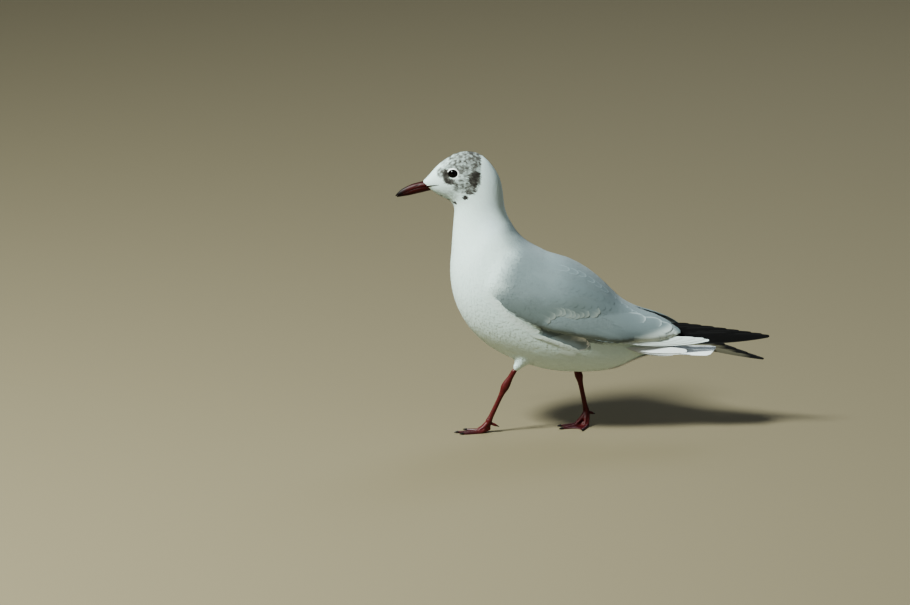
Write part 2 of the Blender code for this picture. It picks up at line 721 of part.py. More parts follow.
def build():
    """Builds every part of the gull."""
    clear_scene()
    parts, cutters = collection("black_headed_gull"), collection("cutters")
    head, _, trunk = build_body(parts)
    build_eyes(head, parts, cutters)
    build_bill(parts)
    tail = build_tail(parts)
    for side in SIDES:
        wing = build_wing(side, trunk, parts, cutters)
        secondaries = build_blade(
            f"secondaries_{side}", SECONDARIES, side, "pale_plumage", parts
        )
        clear_of(secondaries, [trunk, wing], cutters, BLADE_GAP)
        primaries = build_blade(
            f"primaries_{side}", PRIMARIES[side], side, "black_plumage", parts
        )
        clear_of(primaries, [trunk, wing, secondaries, tail], cutters, BLADE_GAP)
        build_thigh(side, trunk, parts, cutters)
        build_shank(side, parts)
        build_foot(side, parts)
        build_claws(side, parts)
        build_hind_toe(side, parts)


build()
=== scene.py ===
"""Looks of a life-size black-headed gull, an adult that is losing its summer hood.

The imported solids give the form. One skin is shrunk from them and bare red skin is made on
the legs, small feathers are laid over the skin along the lie of the coat, and the folded
wings and the tail are built feather by feather. The bird faces -X, with its left side
towards -Y. Lengths are in millimetres until a mesh is made, which turns them to metres.
"""

from __future__ import annotations

import logging
import math
from dataclasses import dataclass, field
from enum import Enum
from typing import Callable, Sequence

import bmesh
import bpy
import numpy as np
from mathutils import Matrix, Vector, noise
from mathutils.bvhtree import BVHTree
from mathutils.kdtree import KDTree


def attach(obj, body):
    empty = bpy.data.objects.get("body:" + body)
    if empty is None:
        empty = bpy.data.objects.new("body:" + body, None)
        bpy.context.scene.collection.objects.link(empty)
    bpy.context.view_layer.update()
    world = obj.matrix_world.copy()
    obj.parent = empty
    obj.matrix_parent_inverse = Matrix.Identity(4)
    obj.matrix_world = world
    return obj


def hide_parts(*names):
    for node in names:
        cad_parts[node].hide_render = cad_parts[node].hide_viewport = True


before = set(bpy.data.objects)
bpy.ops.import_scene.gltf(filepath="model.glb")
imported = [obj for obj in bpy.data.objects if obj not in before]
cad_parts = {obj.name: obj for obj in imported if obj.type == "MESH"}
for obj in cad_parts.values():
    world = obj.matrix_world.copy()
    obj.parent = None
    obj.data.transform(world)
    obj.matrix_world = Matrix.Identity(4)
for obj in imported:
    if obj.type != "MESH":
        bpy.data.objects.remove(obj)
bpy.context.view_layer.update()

MM = 0.001
BODY = "root"
OUTSIDE = 90.0
FAR_OUTSIDE = 300.0
log = logging.getLogger("gull")

Array = np.ndarray
Chance = np.random.Generator
Form = tuple[Array, Array]
Inputs = dict[str | int, object]
Pair = tuple[float, float]
Triple = tuple[float, float, float]
Line = tuple[Pair, ...]
Table = tuple[tuple[float, ...], ...]


class Side(Enum):
    """The two sides of the bird, each with its sign of Y."""

    LEFT = -1
    RIGHT = 1

    @property
    def word(self) -> str:
        """The side's name in lower case."""
        return self.name.lower()


# Numbers and colours


def linear(code: str) -> Triple:
    """Turns an sRGB hex colour, such as #A3ADB2, to linear red, green and blue."""
    parts = [int(code[i : i + 2], 16) / 255 for i in (1, 3, 5)]
    red, green, blue = (v / 12.92 if v <= 0.04045 else ((v + 0.055) / 1.055) ** 2.4 for v in parts)
    return red, green, blue


def smoothstep(low: float, high: float, value: Array) -> Array:
    """Rises smoothly from 0 at low to 1 at high."""
    share = np.clip((value - low) / (high - low), 0.0, 1.0)
    return share * share * (3 - 2 * share)


def window(value: Array, rise: Pair, fall: Pair) -> Array:
    """Rises smoothly from 0 to 1 over one span and falls back over another."""
    return smoothstep(*rise, value) * (1 - smoothstep(*fall, value))


def unit(vectors: Array) -> Array:
    """The vectors at length one."""
    lengths = np.linalg.norm(vectors, axis=-1, keepdims=True)
    return vectors / np.maximum(lengths, 1e-9)


def length(vectors: Array) -> Array:
    """The vectors' lengths."""
    return np.linalg.norm(vectors, axis=-1)


def dot(first: Array, second: Array) -> Array:
    """Row by row scalar products, kept as a column."""
    return np.sum(first * second, axis=-1, keepdims=True)


def plain(code: str, count: int) -> Array:
    """One hex colour for a number of corners, made linear."""
    return np.tile(linear(code), (count, 1))


def blend(under: Array, code: str, share: Array) -> Array:
    """Mixes a hex colour over an array of linear colours by a share for each."""
    return under + (np.asarray(linear(code)) - under) * share[..., None]


def level(places: Array, line: Line) -> Array:
    """The height of a line of (place, height) pairs at each place."""
    return np.interp(places, *zip(*line))


def circle(angles: Array) -> Array:
    """Points at angles round a circle of radius one, (n, 3)."""
    return np.stack([np.cos(angles), np.sin(angles), 0 * angles], axis=1)


def clouds(points: Array, size: float, seed: float = 0.0) -> Array:
    """Soft noise from about -1 to 1, with lumps of a size in millimetres."""
    shift = Vector((seed * 31.7, seed * 17.3, seed * 5.1))
    values = [noise.noise(Vector(point) / size + shift) for point in points.tolist()]
    return np.clip(np.array(values) * 1.6, -1.0, 1.0)


# Meshes and materials


def triangle_mesh(name: str, points: Array, triangles: Array) -> bpy.types.Mesh:
    """Makes a smooth-shaded mesh from arrays.

    Args:
        name: The mesh's name.
        points: Its corners in millimetres, (n, 3).
        triangles: Three corner numbers for each face, (m, 3).

    Returns:
        The mesh, in metres.
    """
    mesh = bpy.data.meshes.new(name)
    mesh.vertices.add(len(points))
    mesh.vertices.foreach_set("co", (points * MM).astype(np.float32).ravel())
    mesh.loops.add(triangles.size)
    mesh.loops.foreach_set("vertex_index", triangles.astype(np.int32).ravel())
    mesh.polygons.add(len(triangles))
    mesh.polygons.foreach_set("loop_start", np.arange(0, triangles.size, 3, dtype=np.int32))
    mesh.update(calc_edges=True)
    mesh.shade_smooth()
    return mesh


def put_colours(mesh: bpy.types.Mesh, name: str, colours: Array) -> None:
    """Stores a linear colour for each corner of a mesh."""
    layer = mesh.color_attributes.new(name, "FLOAT_COLOR", "POINT")
    opaque = np.ones((len(colours), 4), dtype=np.float32)
    opaque[:, :3] = colours
    layer.data.foreach_set("color", opaque.ravel())


def tinted_mesh(name: str, form: Form, tint: Array) -> bpy.types.Mesh:
    """A mesh from its corners and triangles, with the colours for its finish."""
    mesh = triangle_mesh(name, *form)
    put_colours(mesh, "tint", tint)
    return mesh


def put_vectors(mesh: bpy.types.Mesh, name: str, vectors: Array) -> None:
    """Stores a vector for each corner of a mesh."""
    layer = mesh.attributes.new(name, "FLOAT_VECTOR", "POINT")
    layer.data.foreach_set("vector", vectors.astype(np.float32).ravel())


def put_uv(mesh: bpy.types.Mesh, places: Array) -> None:
    """Gives a mesh the map for its baked colours, from a place for each corner."""
    layer = mesh.uv_layers.new(name="OFBake")
    corners = np.empty(len(mesh.loops), dtype=np.int32)
    mesh.loops.foreach_get("vertex_index", corners)
    layer.data.foreach_set("uv", places[corners].astype(np.float32).ravel())


def add_piece(
    name: str, mesh: bpy.types.Mesh, finish: FeatherFinish | TintedFinish
) -> bpy.types.Object:
    """Adds a finished piece that rides on the bird's body.

    Args:
        name: The piece's name.
        mesh: Its mesh, in place and in metres.
        finish: What it is made of.

    Returns:
        The new object.
    """
    piece = bpy.data.objects.new(name, mesh)
    mesh.materials.clear()
    mesh.materials.append(finish.build())
    bpy.context.scene.collection.objects.link(piece)
    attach(piece, BODY)
    log.info("%s: %d faces", name, len(mesh.polygons))
    return piece


def set_inputs(node: bpy.types.Node, inputs: Inputs) -> None:
    """Links or sets a node's inputs.

    Args:
        node: The node.
        inputs: For each input, by its name or number, a socket to link or a value.
    """
    for key, value in inputs.items():
        if isinstance(value, bpy.types.NodeSocket):
            node.id_data.links.new(value, node.inputs[key])
        else:
            node.inputs[key].default_value = value


def add_node(
    tree: bpy.types.NodeTree, kind: str, inputs: Inputs | None = None, **settings: object
) -> bpy.types.Node:
    """Adds a node to a tree, with its settings and links.

    Args:
        tree: The node tree.
        kind: The node's type, without the ShaderNode before it.
        inputs: For each input, by its name or number, a socket to link or a value.
        **settings: Properties of the node itself.

    Returns:
        The node.
    """
    node = tree.nodes.new(f"ShaderNode{kind}")
    for key, value in settings.items():
        setattr(node, key, value)
    set_inputs(node, inputs or {})
    return node


def new_material(name: str) -> tuple[bpy.types.Material, bpy.types.NodeTree, bpy.types.Node]:
    """A new material with its tree and its Principled shader."""
    material = bpy.data.materials.new(name)
    material.use_nodes = True
    return material, material.node_tree, material.node_tree.nodes["Principled BSDF"]


def grain(tree: bpy.types.NodeTree, size: float, detail: float) -> bpy.types.NodeSocket:
    """Noise on Object coordinates, with lumps of a size in millimetres."""
    place = add_node(tree, "TexCoord")
    inputs = {"Vector": place.outputs["Object"], "Scale": 1 / (size * MM), "Detail": detail}
    return add_node(tree, "TexNoise", inputs).outputs["Fac"]


@dataclass(frozen=True)
class FeatherFinish:
    """Keratin vanes: matte, with fine barbs that run off the shaft at a slant.

    The barbs are too fine to show, so they are drawn a few times coarser than real ones.

    Attributes:
        roughness: How matte the vanes are.
        sheen: How strong the soft light at grazing angles is, as down gives.
        barb_pitch: From one barb to the next, in millimetres.
        barb_shade: How much darker the grooves between barbs are.
        barb_slant: How far a barb runs forward for each millimetre outward.
        barb_depth: The strength of their relief.
        barb_height: The height of their relief, in millimetres.
        mottle: How much the tone wanders from place to place.
        mottle_size: The size of that, in millimetres.
    """

    name: str
    roughness: float = 0.82
    sheen: float = 0.12
    barb_pitch: float = 0.9
    barb_shade: float = 0.06
    barb_slant: float = 1.6
    barb_depth: float = 0.25
    barb_height: float = 0.05
    mottle: float = 0.05
    mottle_size: float = 5.0

    def build(self) -> bpy.types.Material:
        """Makes the material, which reads its colour and barbs from attributes."""
        material, tree, shader = new_material(self.name)
        colour = add_node(tree, "Attribute", attribute_name="plumage")
        vane = add_node(tree, "Attribute", attribute_name="vane")
        parts = add_node(tree, "SeparateXYZ", {"Vector": vane.outputs["Vector"]})
        out = add_node(tree, "Math", {0: parts.outputs["X"]}, operation="ABSOLUTE")
        inputs = {0: out.outputs[0], 1: -self.barb_slant, 2: parts.outputs["Y"]}
        slant = add_node(tree, "Math", inputs, operation="MULTIPLY_ADD")
        inputs = {0: slant.outputs[0], 1: math.tau / self.barb_pitch}
        turns = add_node(tree, "Math", inputs, operation="MULTIPLY")
        barbs = add_node(tree, "Math", {0: turns.outputs[0]}, operation="SINE")
        inputs = {0: barbs.outputs[0], 1: self.barb_shade, 2: 1.0 - self.barb_shade}
        shade = add_node(tree, "Math", inputs, operation="MULTIPLY_ADD")
        lumps = grain(tree, self.mottle_size, 3.0)
        inputs = {0: lumps, 1: self.mottle, 2: 1.0 - self.mottle / 2}
        uneven = add_node(tree, "Math", inputs, operation="MULTIPLY_ADD")
        inputs = {0: shade.outputs[0], 1: uneven.outputs[0]}
        both = add_node(tree, "Math", inputs, operation="MULTIPLY")
        inputs = {"Vector": colour.outputs["Color"], "Scale": both.outputs[0]}
        scaled = add_node(tree, "VectorMath", inputs, operation="SCALE")
        relief = {"Strength": self.barb_depth, "Distance": self.barb_height * MM}
        bump = add_node(tree, "Bump", {"Height": barbs.outputs[0], **relief})
        set_inputs(shader, {
            "Base Color": scaled.outputs["Vector"], "Normal": bump.outputs["Normal"],
            "Roughness": self.roughness, "Specular IOR Level": 0.25,
            "Sheen Weight": self.sheen, "Sheen Roughness": 0.6,
        })
        return material


@dataclass(frozen=True)
class TintedFinish:
    """A surface whose colour comes from an attribute, with a fine grain of its own.

    Attributes:
        roughness: How matte it is.
        ior: Its index of refraction.
        grain_size: The size of the grain, in millimetres.
        grain_shade: How much the grain changes the tone.
        grain_depth: The strength of the grain's relief.
        roughness_spread: How much the grain changes the roughness.
    """

    name: str
    roughness: float
    ior: float
    grain_size: float
    grain_shade: float
    grain_depth: float
    roughness_spread: float = 0.0

    def build(self) -> bpy.types.Material:
        """Makes the material."""
        material, tree, shader = new_material(self.name)
        colour = add_node(tree, "Attribute", attribute_name="tint")
        lumps = grain(tree, self.grain_size, 4.0)
        inputs = {0: lumps, 1: self.grain_shade, 2: 1.0 - self.grain_shade / 2}
        shade = add_node(tree, "Math", inputs, operation="MULTIPLY_ADD")
        inputs = {"Vector": colour.outputs["Color"], "Scale": shade.outputs[0]}
        scaled = add_node(tree, "VectorMath", inputs, operation="SCALE")
        relief = {"Strength": self.grain_depth, "Distance": 0.1 * MM}
        bump = add_node(tree, "Bump", {"Height": lumps, **relief})
        rough = self.roughness
        if self.roughness_spread:
            spread = self.roughness_spread
            inputs = {0: lumps, 1: spread, 2: self.roughness - spread / 2}
            rough = add_node(tree, "Math", inputs, operation="MULTIPLY_ADD").outputs[0]
        set_inputs(shader, {
            "Base Color": scaled.outputs["Vector"], "Normal": bump.outputs["Normal"],
            "Roughness": rough, "IOR": self.ior,
        })
        return material


# Contour feathers: open, downy barbs with almost no gloss.
SOFT_FEATHER = FeatherFinish("contour feather keratin")
# Flight feathers and coverts: closed vanes, a little smoother.
STIFF_FEATHER = FeatherFinish(
    "flight feather keratin", roughness=0.62, sheen=0.05, barb_pitch=1.1, barb_shade=0.05
)
# Feathered skin under the coat: dry and dull.
BODY_SKIN = TintedFinish("skin under feathers", 0.9, 1.4, 4.0, 0.08, 0.3)
# Scaled leg skin: leathery, with a low wax shine.
LEG_SKIN = TintedFinish("scaled leg skin", 0.46, 1.45, 0.9, 0.35, 0.5, 0.15)
# Bill sheath: smooth horn with a soft polish.
BILL_HORN = TintedFinish("bill sheath horn", 0.5, 1.34, 1.6, 0.3, 0.3, 0.14)
# Claw sheath: worn horn.
CLAW_HORN = TintedFinish("claw sheath horn", 0.42, 1.54, 0.8, 0.3, 0.3)
# Eye under tear film.
EYE_FILM = TintedFinish("eye under tear film", 0.04, 1.34, 0.7, 0.2, 0.0)
# Rim of the lids: thin bare skin.
LID_SKIN = TintedFinish("eyelid rim skin", 0.5, 1.4, 0.4, 0.3, 0.4)


# The surface that feathers lie on


def face_normals(corners: Array) -> Array:
    """Each triangle's normal, as long as twice its area, from its corners, (n, 3, 3)."""
    return np.cross(corners[:, 1] - corners[:, 0], corners[:, 2] - corners[:, 0])


def gathered(triangles: Array, values: Array, total: Array) -> Array:
    """Adds each triangle's value to the totals at its three corners."""
    for k in range(3):
        np.add.at(total, triangles[:, k], values)
    return total


@dataclass
class Surface:
    """A triangle surface that can be searched, with smooth normals."""

    points: Array
    triangles: Array
    softening: int = 0
    shading_softening: int = 0
    normals: Array = field(init=False)
    shading: Array = field(init=False)
    tree: BVHTree = field(init=False)

    def __post_init__(self) -> None:
        """Works out the normals and the search tree."""
        total = gathered(
            self.triangles, face_normals(self.points[self.triangles]), np.zeros_like(self.points)
        )
        self.normals = self.softened(unit(total), self.softening)
        self.shading = self.softened(self.normals, self.shading_softening)
        self.tree = BVHTree.FromPolygons(self.points.tolist(), self.triangles.tolist())

    def softened(self, normals: Array, rounds: int) -> Array:
        """Corner normals, evened out with their neighbours' some times over."""
        for _ in range(rounds):
            around = normals[self.triangles].sum(axis=1)
            normals = unit(gathered(self.triangles, around, normals.copy()))
        return normals

    @staticmethod
    def found(points: Array, search: Callable[[list[float]], tuple]) -> tuple[Array, Array]:
        """The place and the face that a search finds from each point."""
        places, faces = np.empty_like(points), np.empty(len(points), dtype=int)
        for i, point in enumerate(points.tolist()):
            places[i], _, faces[i], _ = search(point)
        return places, faces

    def nearest_soft(self, points: Array) -> tuple[Array, Array, Array]:
        """The nearest places on the surface, and their normals and soft normals."""
        places, faces = self.found(points, self.tree.find_nearest)
        normals = self.mixed(self.normals, places, faces)
        return places, normals, self.mixed(self.shading, places, faces)

    def nearest(self, points: Array) -> tuple[Array, Array]:
        """The nearest places on the surface and the smooth normals there."""
        places, normals, _ = self.nearest_soft(points)
        return places, normals

    def cast(self, points: Array, direction: Sequence[float]) -> tuple[Array, Array]:
        """The first places hit from points outside, or the nearest ones if none is."""
        aim = Vector(direction).normalized()

        def search(point: list[float]) -> tuple:
            hit = self.tree.ray_cast(Vector(point), aim)
            return self.tree.find_nearest(point) if hit[0] is None else hit

        places, faces = self.found(points, search)
        return places, self.mixed(self.normals, places, faces)

    def from_side(self, x: Array, z: Array, side: Side) -> Form:
        """The places and normals hit from far out on one side of the bird."""
        start = np.stack([x, np.full(len(x), side.value * OUTSIDE), z], axis=1)
        return self.cast(start, (0, -side.value, 0))

    def mixed(self, table: Array, places: Array, faces: Array) -> Array:
        """Corner normals, mixed by each place's position in its triangle."""
        corners = self.points[self.triangles[faces]]
        first, second = corners[:, 1] - corners[:, 0], corners[:, 2] - corners[:, 0]
        third = places - corners[:, 0]
        a, b, c = dot(first, first), dot(first, second), dot(second, second)
        d, e = dot(third, first), dot(third, second)
        scale = np.maximum(a * c - b * b, 1e-12)
        v = np.clip((c * d - b * e) / scale, 0, 1)
        w = np.clip((a * e - b * d) / scale, 0, 1)
        mixed = table[self.triangles[faces]]
        return unit(mixed[:, 0] * (1 - v - w) + mixed[:, 1] * v + mixed[:, 2] * w)

    def scatter(self, spacing: Callable[[Array], Array], rng: Chance) -> Array:
        """Spreads places over the surface, no two closer than the spacing there."""
        corners = self.points[self.triangles]
        areas = length(face_normals(corners)) / 2
        wanted = areas / spacing(corners.mean(axis=1)) ** 2
        count = int(wanted.sum() * 5)
        chosen = rng.choice(len(areas), size=count, p=wanted / wanted.sum())
        u, v = rng.random((2, count, 1))
        over = (u + v > 1)[:, 0]
        u[over], v[over] = 1 - u[over], 1 - v[over]
        spots = corners[chosen]
        places = spots[:, 0] + (spots[:, 1] - spots[:, 0]) * u + (spots[:, 2] - spots[:, 0]) * v
        near = KDTree(count)
        for i, place in enumerate(places.tolist()):
            near.insert(place, i)
        near.balance()
        radii = spacing(places)
        taken = np.zeros(count, dtype=bool)
        kept = []
        for i in range(count):
            if not taken[i]:
                kept.append(i)
                for _, j, _ in near.find_range(places[i], radii[i]):
                    taken[j] = True
        return places[kept]


def working_arrays(bm: bmesh.types.BMesh, grow: float = 0.0) -> Form:
    """A working mesh's corners, pushed out by grow, and triangles; the mesh is freed."""
    bm.verts.index_update()
    points = np.array([v.co + v.normal * grow * MM for v in bm.verts]) / MM
    triangles = np.array([[v.index for v in f.verts] for f in bm.faces])
    bm.free()
    return points, triangles


def solid_arrays(names: Sequence[str], grow: float = 0.0) -> Form:
    """Corners and triangles of some CAD nodes, welded, in millimetres.

    Args:
        names: The nodes.
        grow: How far to push the corners out, in millimetres.

    Returns:
        The corners and the triangles.
    """
    solids = []
    for name in names:
        bm = bmesh.new()
        bm.from_mesh(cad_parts[name].data)
        bmesh.ops.remove_doubles(bm, verts=bm.verts, dist=1e-6)
        bmesh.ops.triangulate(bm, faces=bm.faces)
        bm.normal_update()
        solids.append(working_arrays(bm, grow))
    return joined(solids)


def joined(pieces: Sequence[Form]) -> Form:
    """Corners and triangles of several pieces as one."""
    offsets = np.cumsum([0] + [len(points) for points, _ in pieces[:-1]])
    points = np.concatenate([points for points, _ in pieces])
    return points, np.concatenate([t + o for (_, t), o in zip(pieces, offsets)])


def capsule(start: Sequence[float], end: Sequence[float], first: float, last: float) -> Form:
    """A round form between two balls.

    Args:
        start: The first ball's middle.
        end: The last ball's middle.
        first: The first ball's radius.
        last: The last ball's radius.

    Returns:
        The corners and the triangles.
    """
    turns, rings = 20, 8
    start, end = np.array(start, dtype=float), np.array(end, dtype=float)
    ahead = unit(end - start)
    aside = unit(np.cross(ahead, [0.31, 0.94, 0.11]))
    over = np.cross(ahead, aside)
    bends = np.radians(np.linspace(-85, 85, 2 * rings))
    middles = np.where(bends[:, None] < 0, start, end)
    radii = np.where(bends < 0, first, last)
    middles = middles + ahead * (radii * np.sin(bends))[:, None]
    around = np.linspace(0, math.tau, turns, endpoint=False)
    ring = aside * np.cos(around)[:, None] + over * np.sin(around)[:, None]
    points = middles[:, None] + ring * (radii * np.cos(bends))[:, None, None]
    return points.reshape(-1, 3), tube_triangles(2 * rings, turns, True)


def remeshed(points: Array, triangles: Array, voxel: float, rounds: int) -> Form:
    """Joins overlapping solids into one even, smoothed surface.

    Args:
        points: Corners in millimetres.
        triangles: Triangles.
        voxel: The size of the new faces in millimetres.
        rounds: How many times the result is smoothed.

    Returns:
        The corners and triangles of the largest connected surface.
    """
    source = triangle_mesh("source", points, triangles)
    holder = bpy.data.objects.new("source", source)
    bpy.context.scene.collection.objects.link(holder)
    joining = holder.modifiers.new("join", "REMESH")
    joining.mode = "VOXEL"
    joining.voxel_size = voxel * MM
    smoothing = holder.modifiers.new("smooth", "SMOOTH")
    smoothing.iterations = rounds
    graph = bpy.context.evaluated_depsgraph_get()
    result = bpy.data.meshes.new_from_object(holder.evaluated_get(graph))
    bm = bmesh.new()
    bm.from_mesh(result)
    bmesh.ops.triangulate(bm, faces=bm.faces)
    keep_largest(bm)
    bpy.data.objects.remove(holder)
    bpy.data.meshes.remove(source)
    bpy.data.meshes.remove(result)
    return working_arrays(bm)


def keep_largest(bm: bmesh.types.BMesh) -> None:
    """Deletes all but the largest connected part of a mesh."""
    seen: set[bmesh.types.BMVert] = set()
    parts = []
    for start in bm.verts:
        if start in seen:
            continue
        seen.add(start)
        part, waiting = [start], [start]
        while waiting:
            for edge in waiting.pop().link_edges:
                for vert in edge.verts:
                    if vert not in seen:
                        seen.add(vert)
                        part.append(vert)
                        waiting.append(vert)
        parts.append(part)
    parts.sort(key=len)
    for part in parts[:-1]:
        bmesh.ops.delete(bm, geom=part, context="VERTS")


# The lie of the coat


@dataclass(frozen=True)
class Station:
    """A place along the middle of the body, with the size of the feathers round it."""

    name: str
    x: float
    z: float
    spacing: float
    length: float
    width: float
    depth: float


@dataclass
class LieOfCoat:
    """Which way feathers point, how big they are, and where they are on an unwrap."""

    stations: tuple[Station, ...] = (
        Station("bill base", -165, 259, 0.62, 2.0, 0.8, 0.15),
        Station("lores", -153, 263, 0.66, 2.6, 0.95, 0.18),
        Station("eye", -138, 268, 0.72, 3.4, 1.15, 0.22),
        Station("ear", -120, 267, 0.80, 4.6, 1.4, 0.25),
        Station("nape", -109, 252, 0.92, 6.5, 1.7, 0.28),
        Station("upper neck", -108, 232, 1.08, 8.5, 2.1, 0.30),
        Station("lower neck", -107, 208, 1.20, 10.0, 2.4, 0.32),
        Station("neck base", -103, 188, 1.32, 11.5, 2.8, 0.34),
        Station("breast", -92, 167, 1.40, 13.0, 3.1, 0.36),
        Station("keel", -72, 147, 1.48, 14.0, 3.3, 0.38),
        Station("belly", -44, 129, 1.52, 15.0, 3.5, 0.40),
        Station("thighs", -8, 111, 1.52, 16.0, 3.5, 0.42),
        Station("vent", 32, 96, 1.48, 16.0, 3.4, 0.40),
        Station("tail base", 72, 88, 1.40, 16.0, 3.2, 0.34),
        Station("tail", 135, 86, 1.40, 16.0, 3.2, 0.34),
    )
    softness: float = 13.0
    thighs: tuple[tuple[tuple[float, ...], tuple[float, ...], float], ...] = (
        ((-57, -19, 86), (-70.9, -18.8, 67.4), 8.0),
        ((-15, 17, 84), (-8.6, 15.6, 63.3), 7.0),
    )
    thigh_size: float = 0.55
    wing_way: Triple = (0.93, 0.0, -0.37)
    wing_sizes: dict[str, float] = field(
        default_factory=lambda: {"width": 1.6, "depth": 0.45, "spacing": 1.1}
    )
    wing_low: Line = (
        (-98.5, 158), (-92.5, 150), (-80, 137.5), (-62, 126.5), (-42, 117), (-20, 111),
        (-4, 104), (12, 99.5), (28, 98), (52, 98), (74, 98.5), (92, 100.5), (104, 106.3),
    )
    ridge: Line = (
        (-62, 198), (-38, 188.5), (-16, 182.5), (6, 170.5), (24, 155), (39, 139.8),
        (56, 130.6), (73, 125.5), (89, 118.5), (102.5, 109.3),
    )
    mantle_front: Line = ((140, -98), (152, -95), (163, -88), (180, -82), (196, -77), (225, -80))
    face: Triple = (-168.0, 0.0, 259.5)
    face_reach: Pair = (30.0, 78.0)
    patch: float = 0.003

    def __post_init__(self) -> None:
        """Works out the spine's steps."""
        self.line = np.array([(s.x, s.z) for s in self.stations], dtype=float)
        steps = np.diff(self.line, axis=0)
        lengths = length(steps)
        self.tangents = steps / lengths[:, None]
        self.marks = np.concatenate([[0], np.cumsum(lengths)])
        self.lengths = lengths

    def along(self, points: Array) -> tuple[Array, Array]:
        """Each point's place along the spine in millimetres, and the spine's direction."""
        offsets = points[:, None, [0, 2]] - self.line[None, :-1]
        reach = np.clip((offsets * self.tangents).sum(-1), 0, self.lengths)
        feet = self.line[:-1] + self.tangents * reach[..., None]
        gaps = length(points[:, None, [0, 2]] - feet)
        closest = gaps.min(axis=1, keepdims=True)
        weights = np.exp(-(gaps**2 - closest**2) / (2 * self.softness**2))
        weights /= weights.sum(axis=1, keepdims=True)
        place = ((self.marks[:-1] + reach) * weights).sum(axis=1)
        flat = weights @ self.tangents
        return place, unit(np.stack([flat[:, 0], 0 * place, flat[:, 1]], axis=1))

    def size(self, points: Array, kind: str) -> Array:
        """A feather size, by its field name in Station, at each point."""
        place, _ = self.along(points)
        size = np.interp(place, self.marks, [getattr(s, kind) for s in self.stations])
        for top, foot, reach in self.thighs:
            near = self.near_thigh(points, top, foot, reach)
            size = size * (1 - near * (1 - self.thigh_size))
        if kind in self.wing_sizes:
            size = size * (1 + (self.wing_sizes[kind] - 1) * self.on_wing(points))
        return size

    def heading(self, points: Array, normals: Array) -> Array:
        """The direction along the surface in which the feathers at each point lie."""
        _, spine = self.along(points)
        away = points - np.array(self.face)
        reach = length(away)
        share = smoothstep(*self.face_reach, reach)[:, None]
        flow = unit(away) * (1 - share) + spine * share
        wing = self.on_wing(points)[:, None]
        flow = flow * (1 - wing) + np.array(self.wing_way) * wing
        for top, foot, reach in self.thighs:
            near = self.near_thigh(points, top, foot, reach)[:, None]
            down = unit(np.array(foot) - np.array(top))
            flow = flow * (1 - near) + down * near
        return unit(flow - normals * dot(flow, normals))

    def on_wing(self, points: Array) -> Array:
        """How surely each point is on a wing or between the two, from 0 to 1."""
        x, _, z = points.T
        front = level(z, self.mantle_front)
        low = level(x, self.wing_low)
        share = smoothstep(-6, 18, x - front) * smoothstep(-2, 4, z - low)
        return share * (1 - smoothstep(206, 238, z))

    @staticmethod
    def near_thigh(points: Array, top: Sequence[float], foot: Sequence[float], reach: float) -> Array:
        """How near each point is to a thigh that goes from one place to another."""
        start, step = np.array(top, dtype=float), np.array(foot, dtype=float) - np.array(top)
        share = np.clip((points - start) @ step / (step @ step), 0, 1.4)
        gap = length(points - start - share[:, None] * step)
        return (1 - smoothstep(reach * 0.8, reach * 1.3, gap)) * smoothstep(0.15, 0.5, share)

    def unwrapped(self, points: Array) -> Array:
        """Each point's place on an unwrap of the body: along it, and round it."""
        place, spine = self.along(points)
        x = np.interp(place, self.marks, self.line[:, 0])
        z = np.interp(place, self.marks, self.line[:, 1])
        over = (points[:, 2] - z) * spine[:, 0] - (points[:, 0] - x) * spine[:, 2]
        turn = np.arctan2(points[:, 1], over) / math.tau + 0.5
        return np.stack([0.01 + 0.98 * place / self.marks[-1], 0.01 + 0.98 * turn], axis=1)


@dataclass(frozen=True)
class Smudge:
    """A soft dark patch on the head, seen from the side."""

    x: float
    z: float
    half_length: float
    half_height: float
    strength: float
    turn: float = 0.0


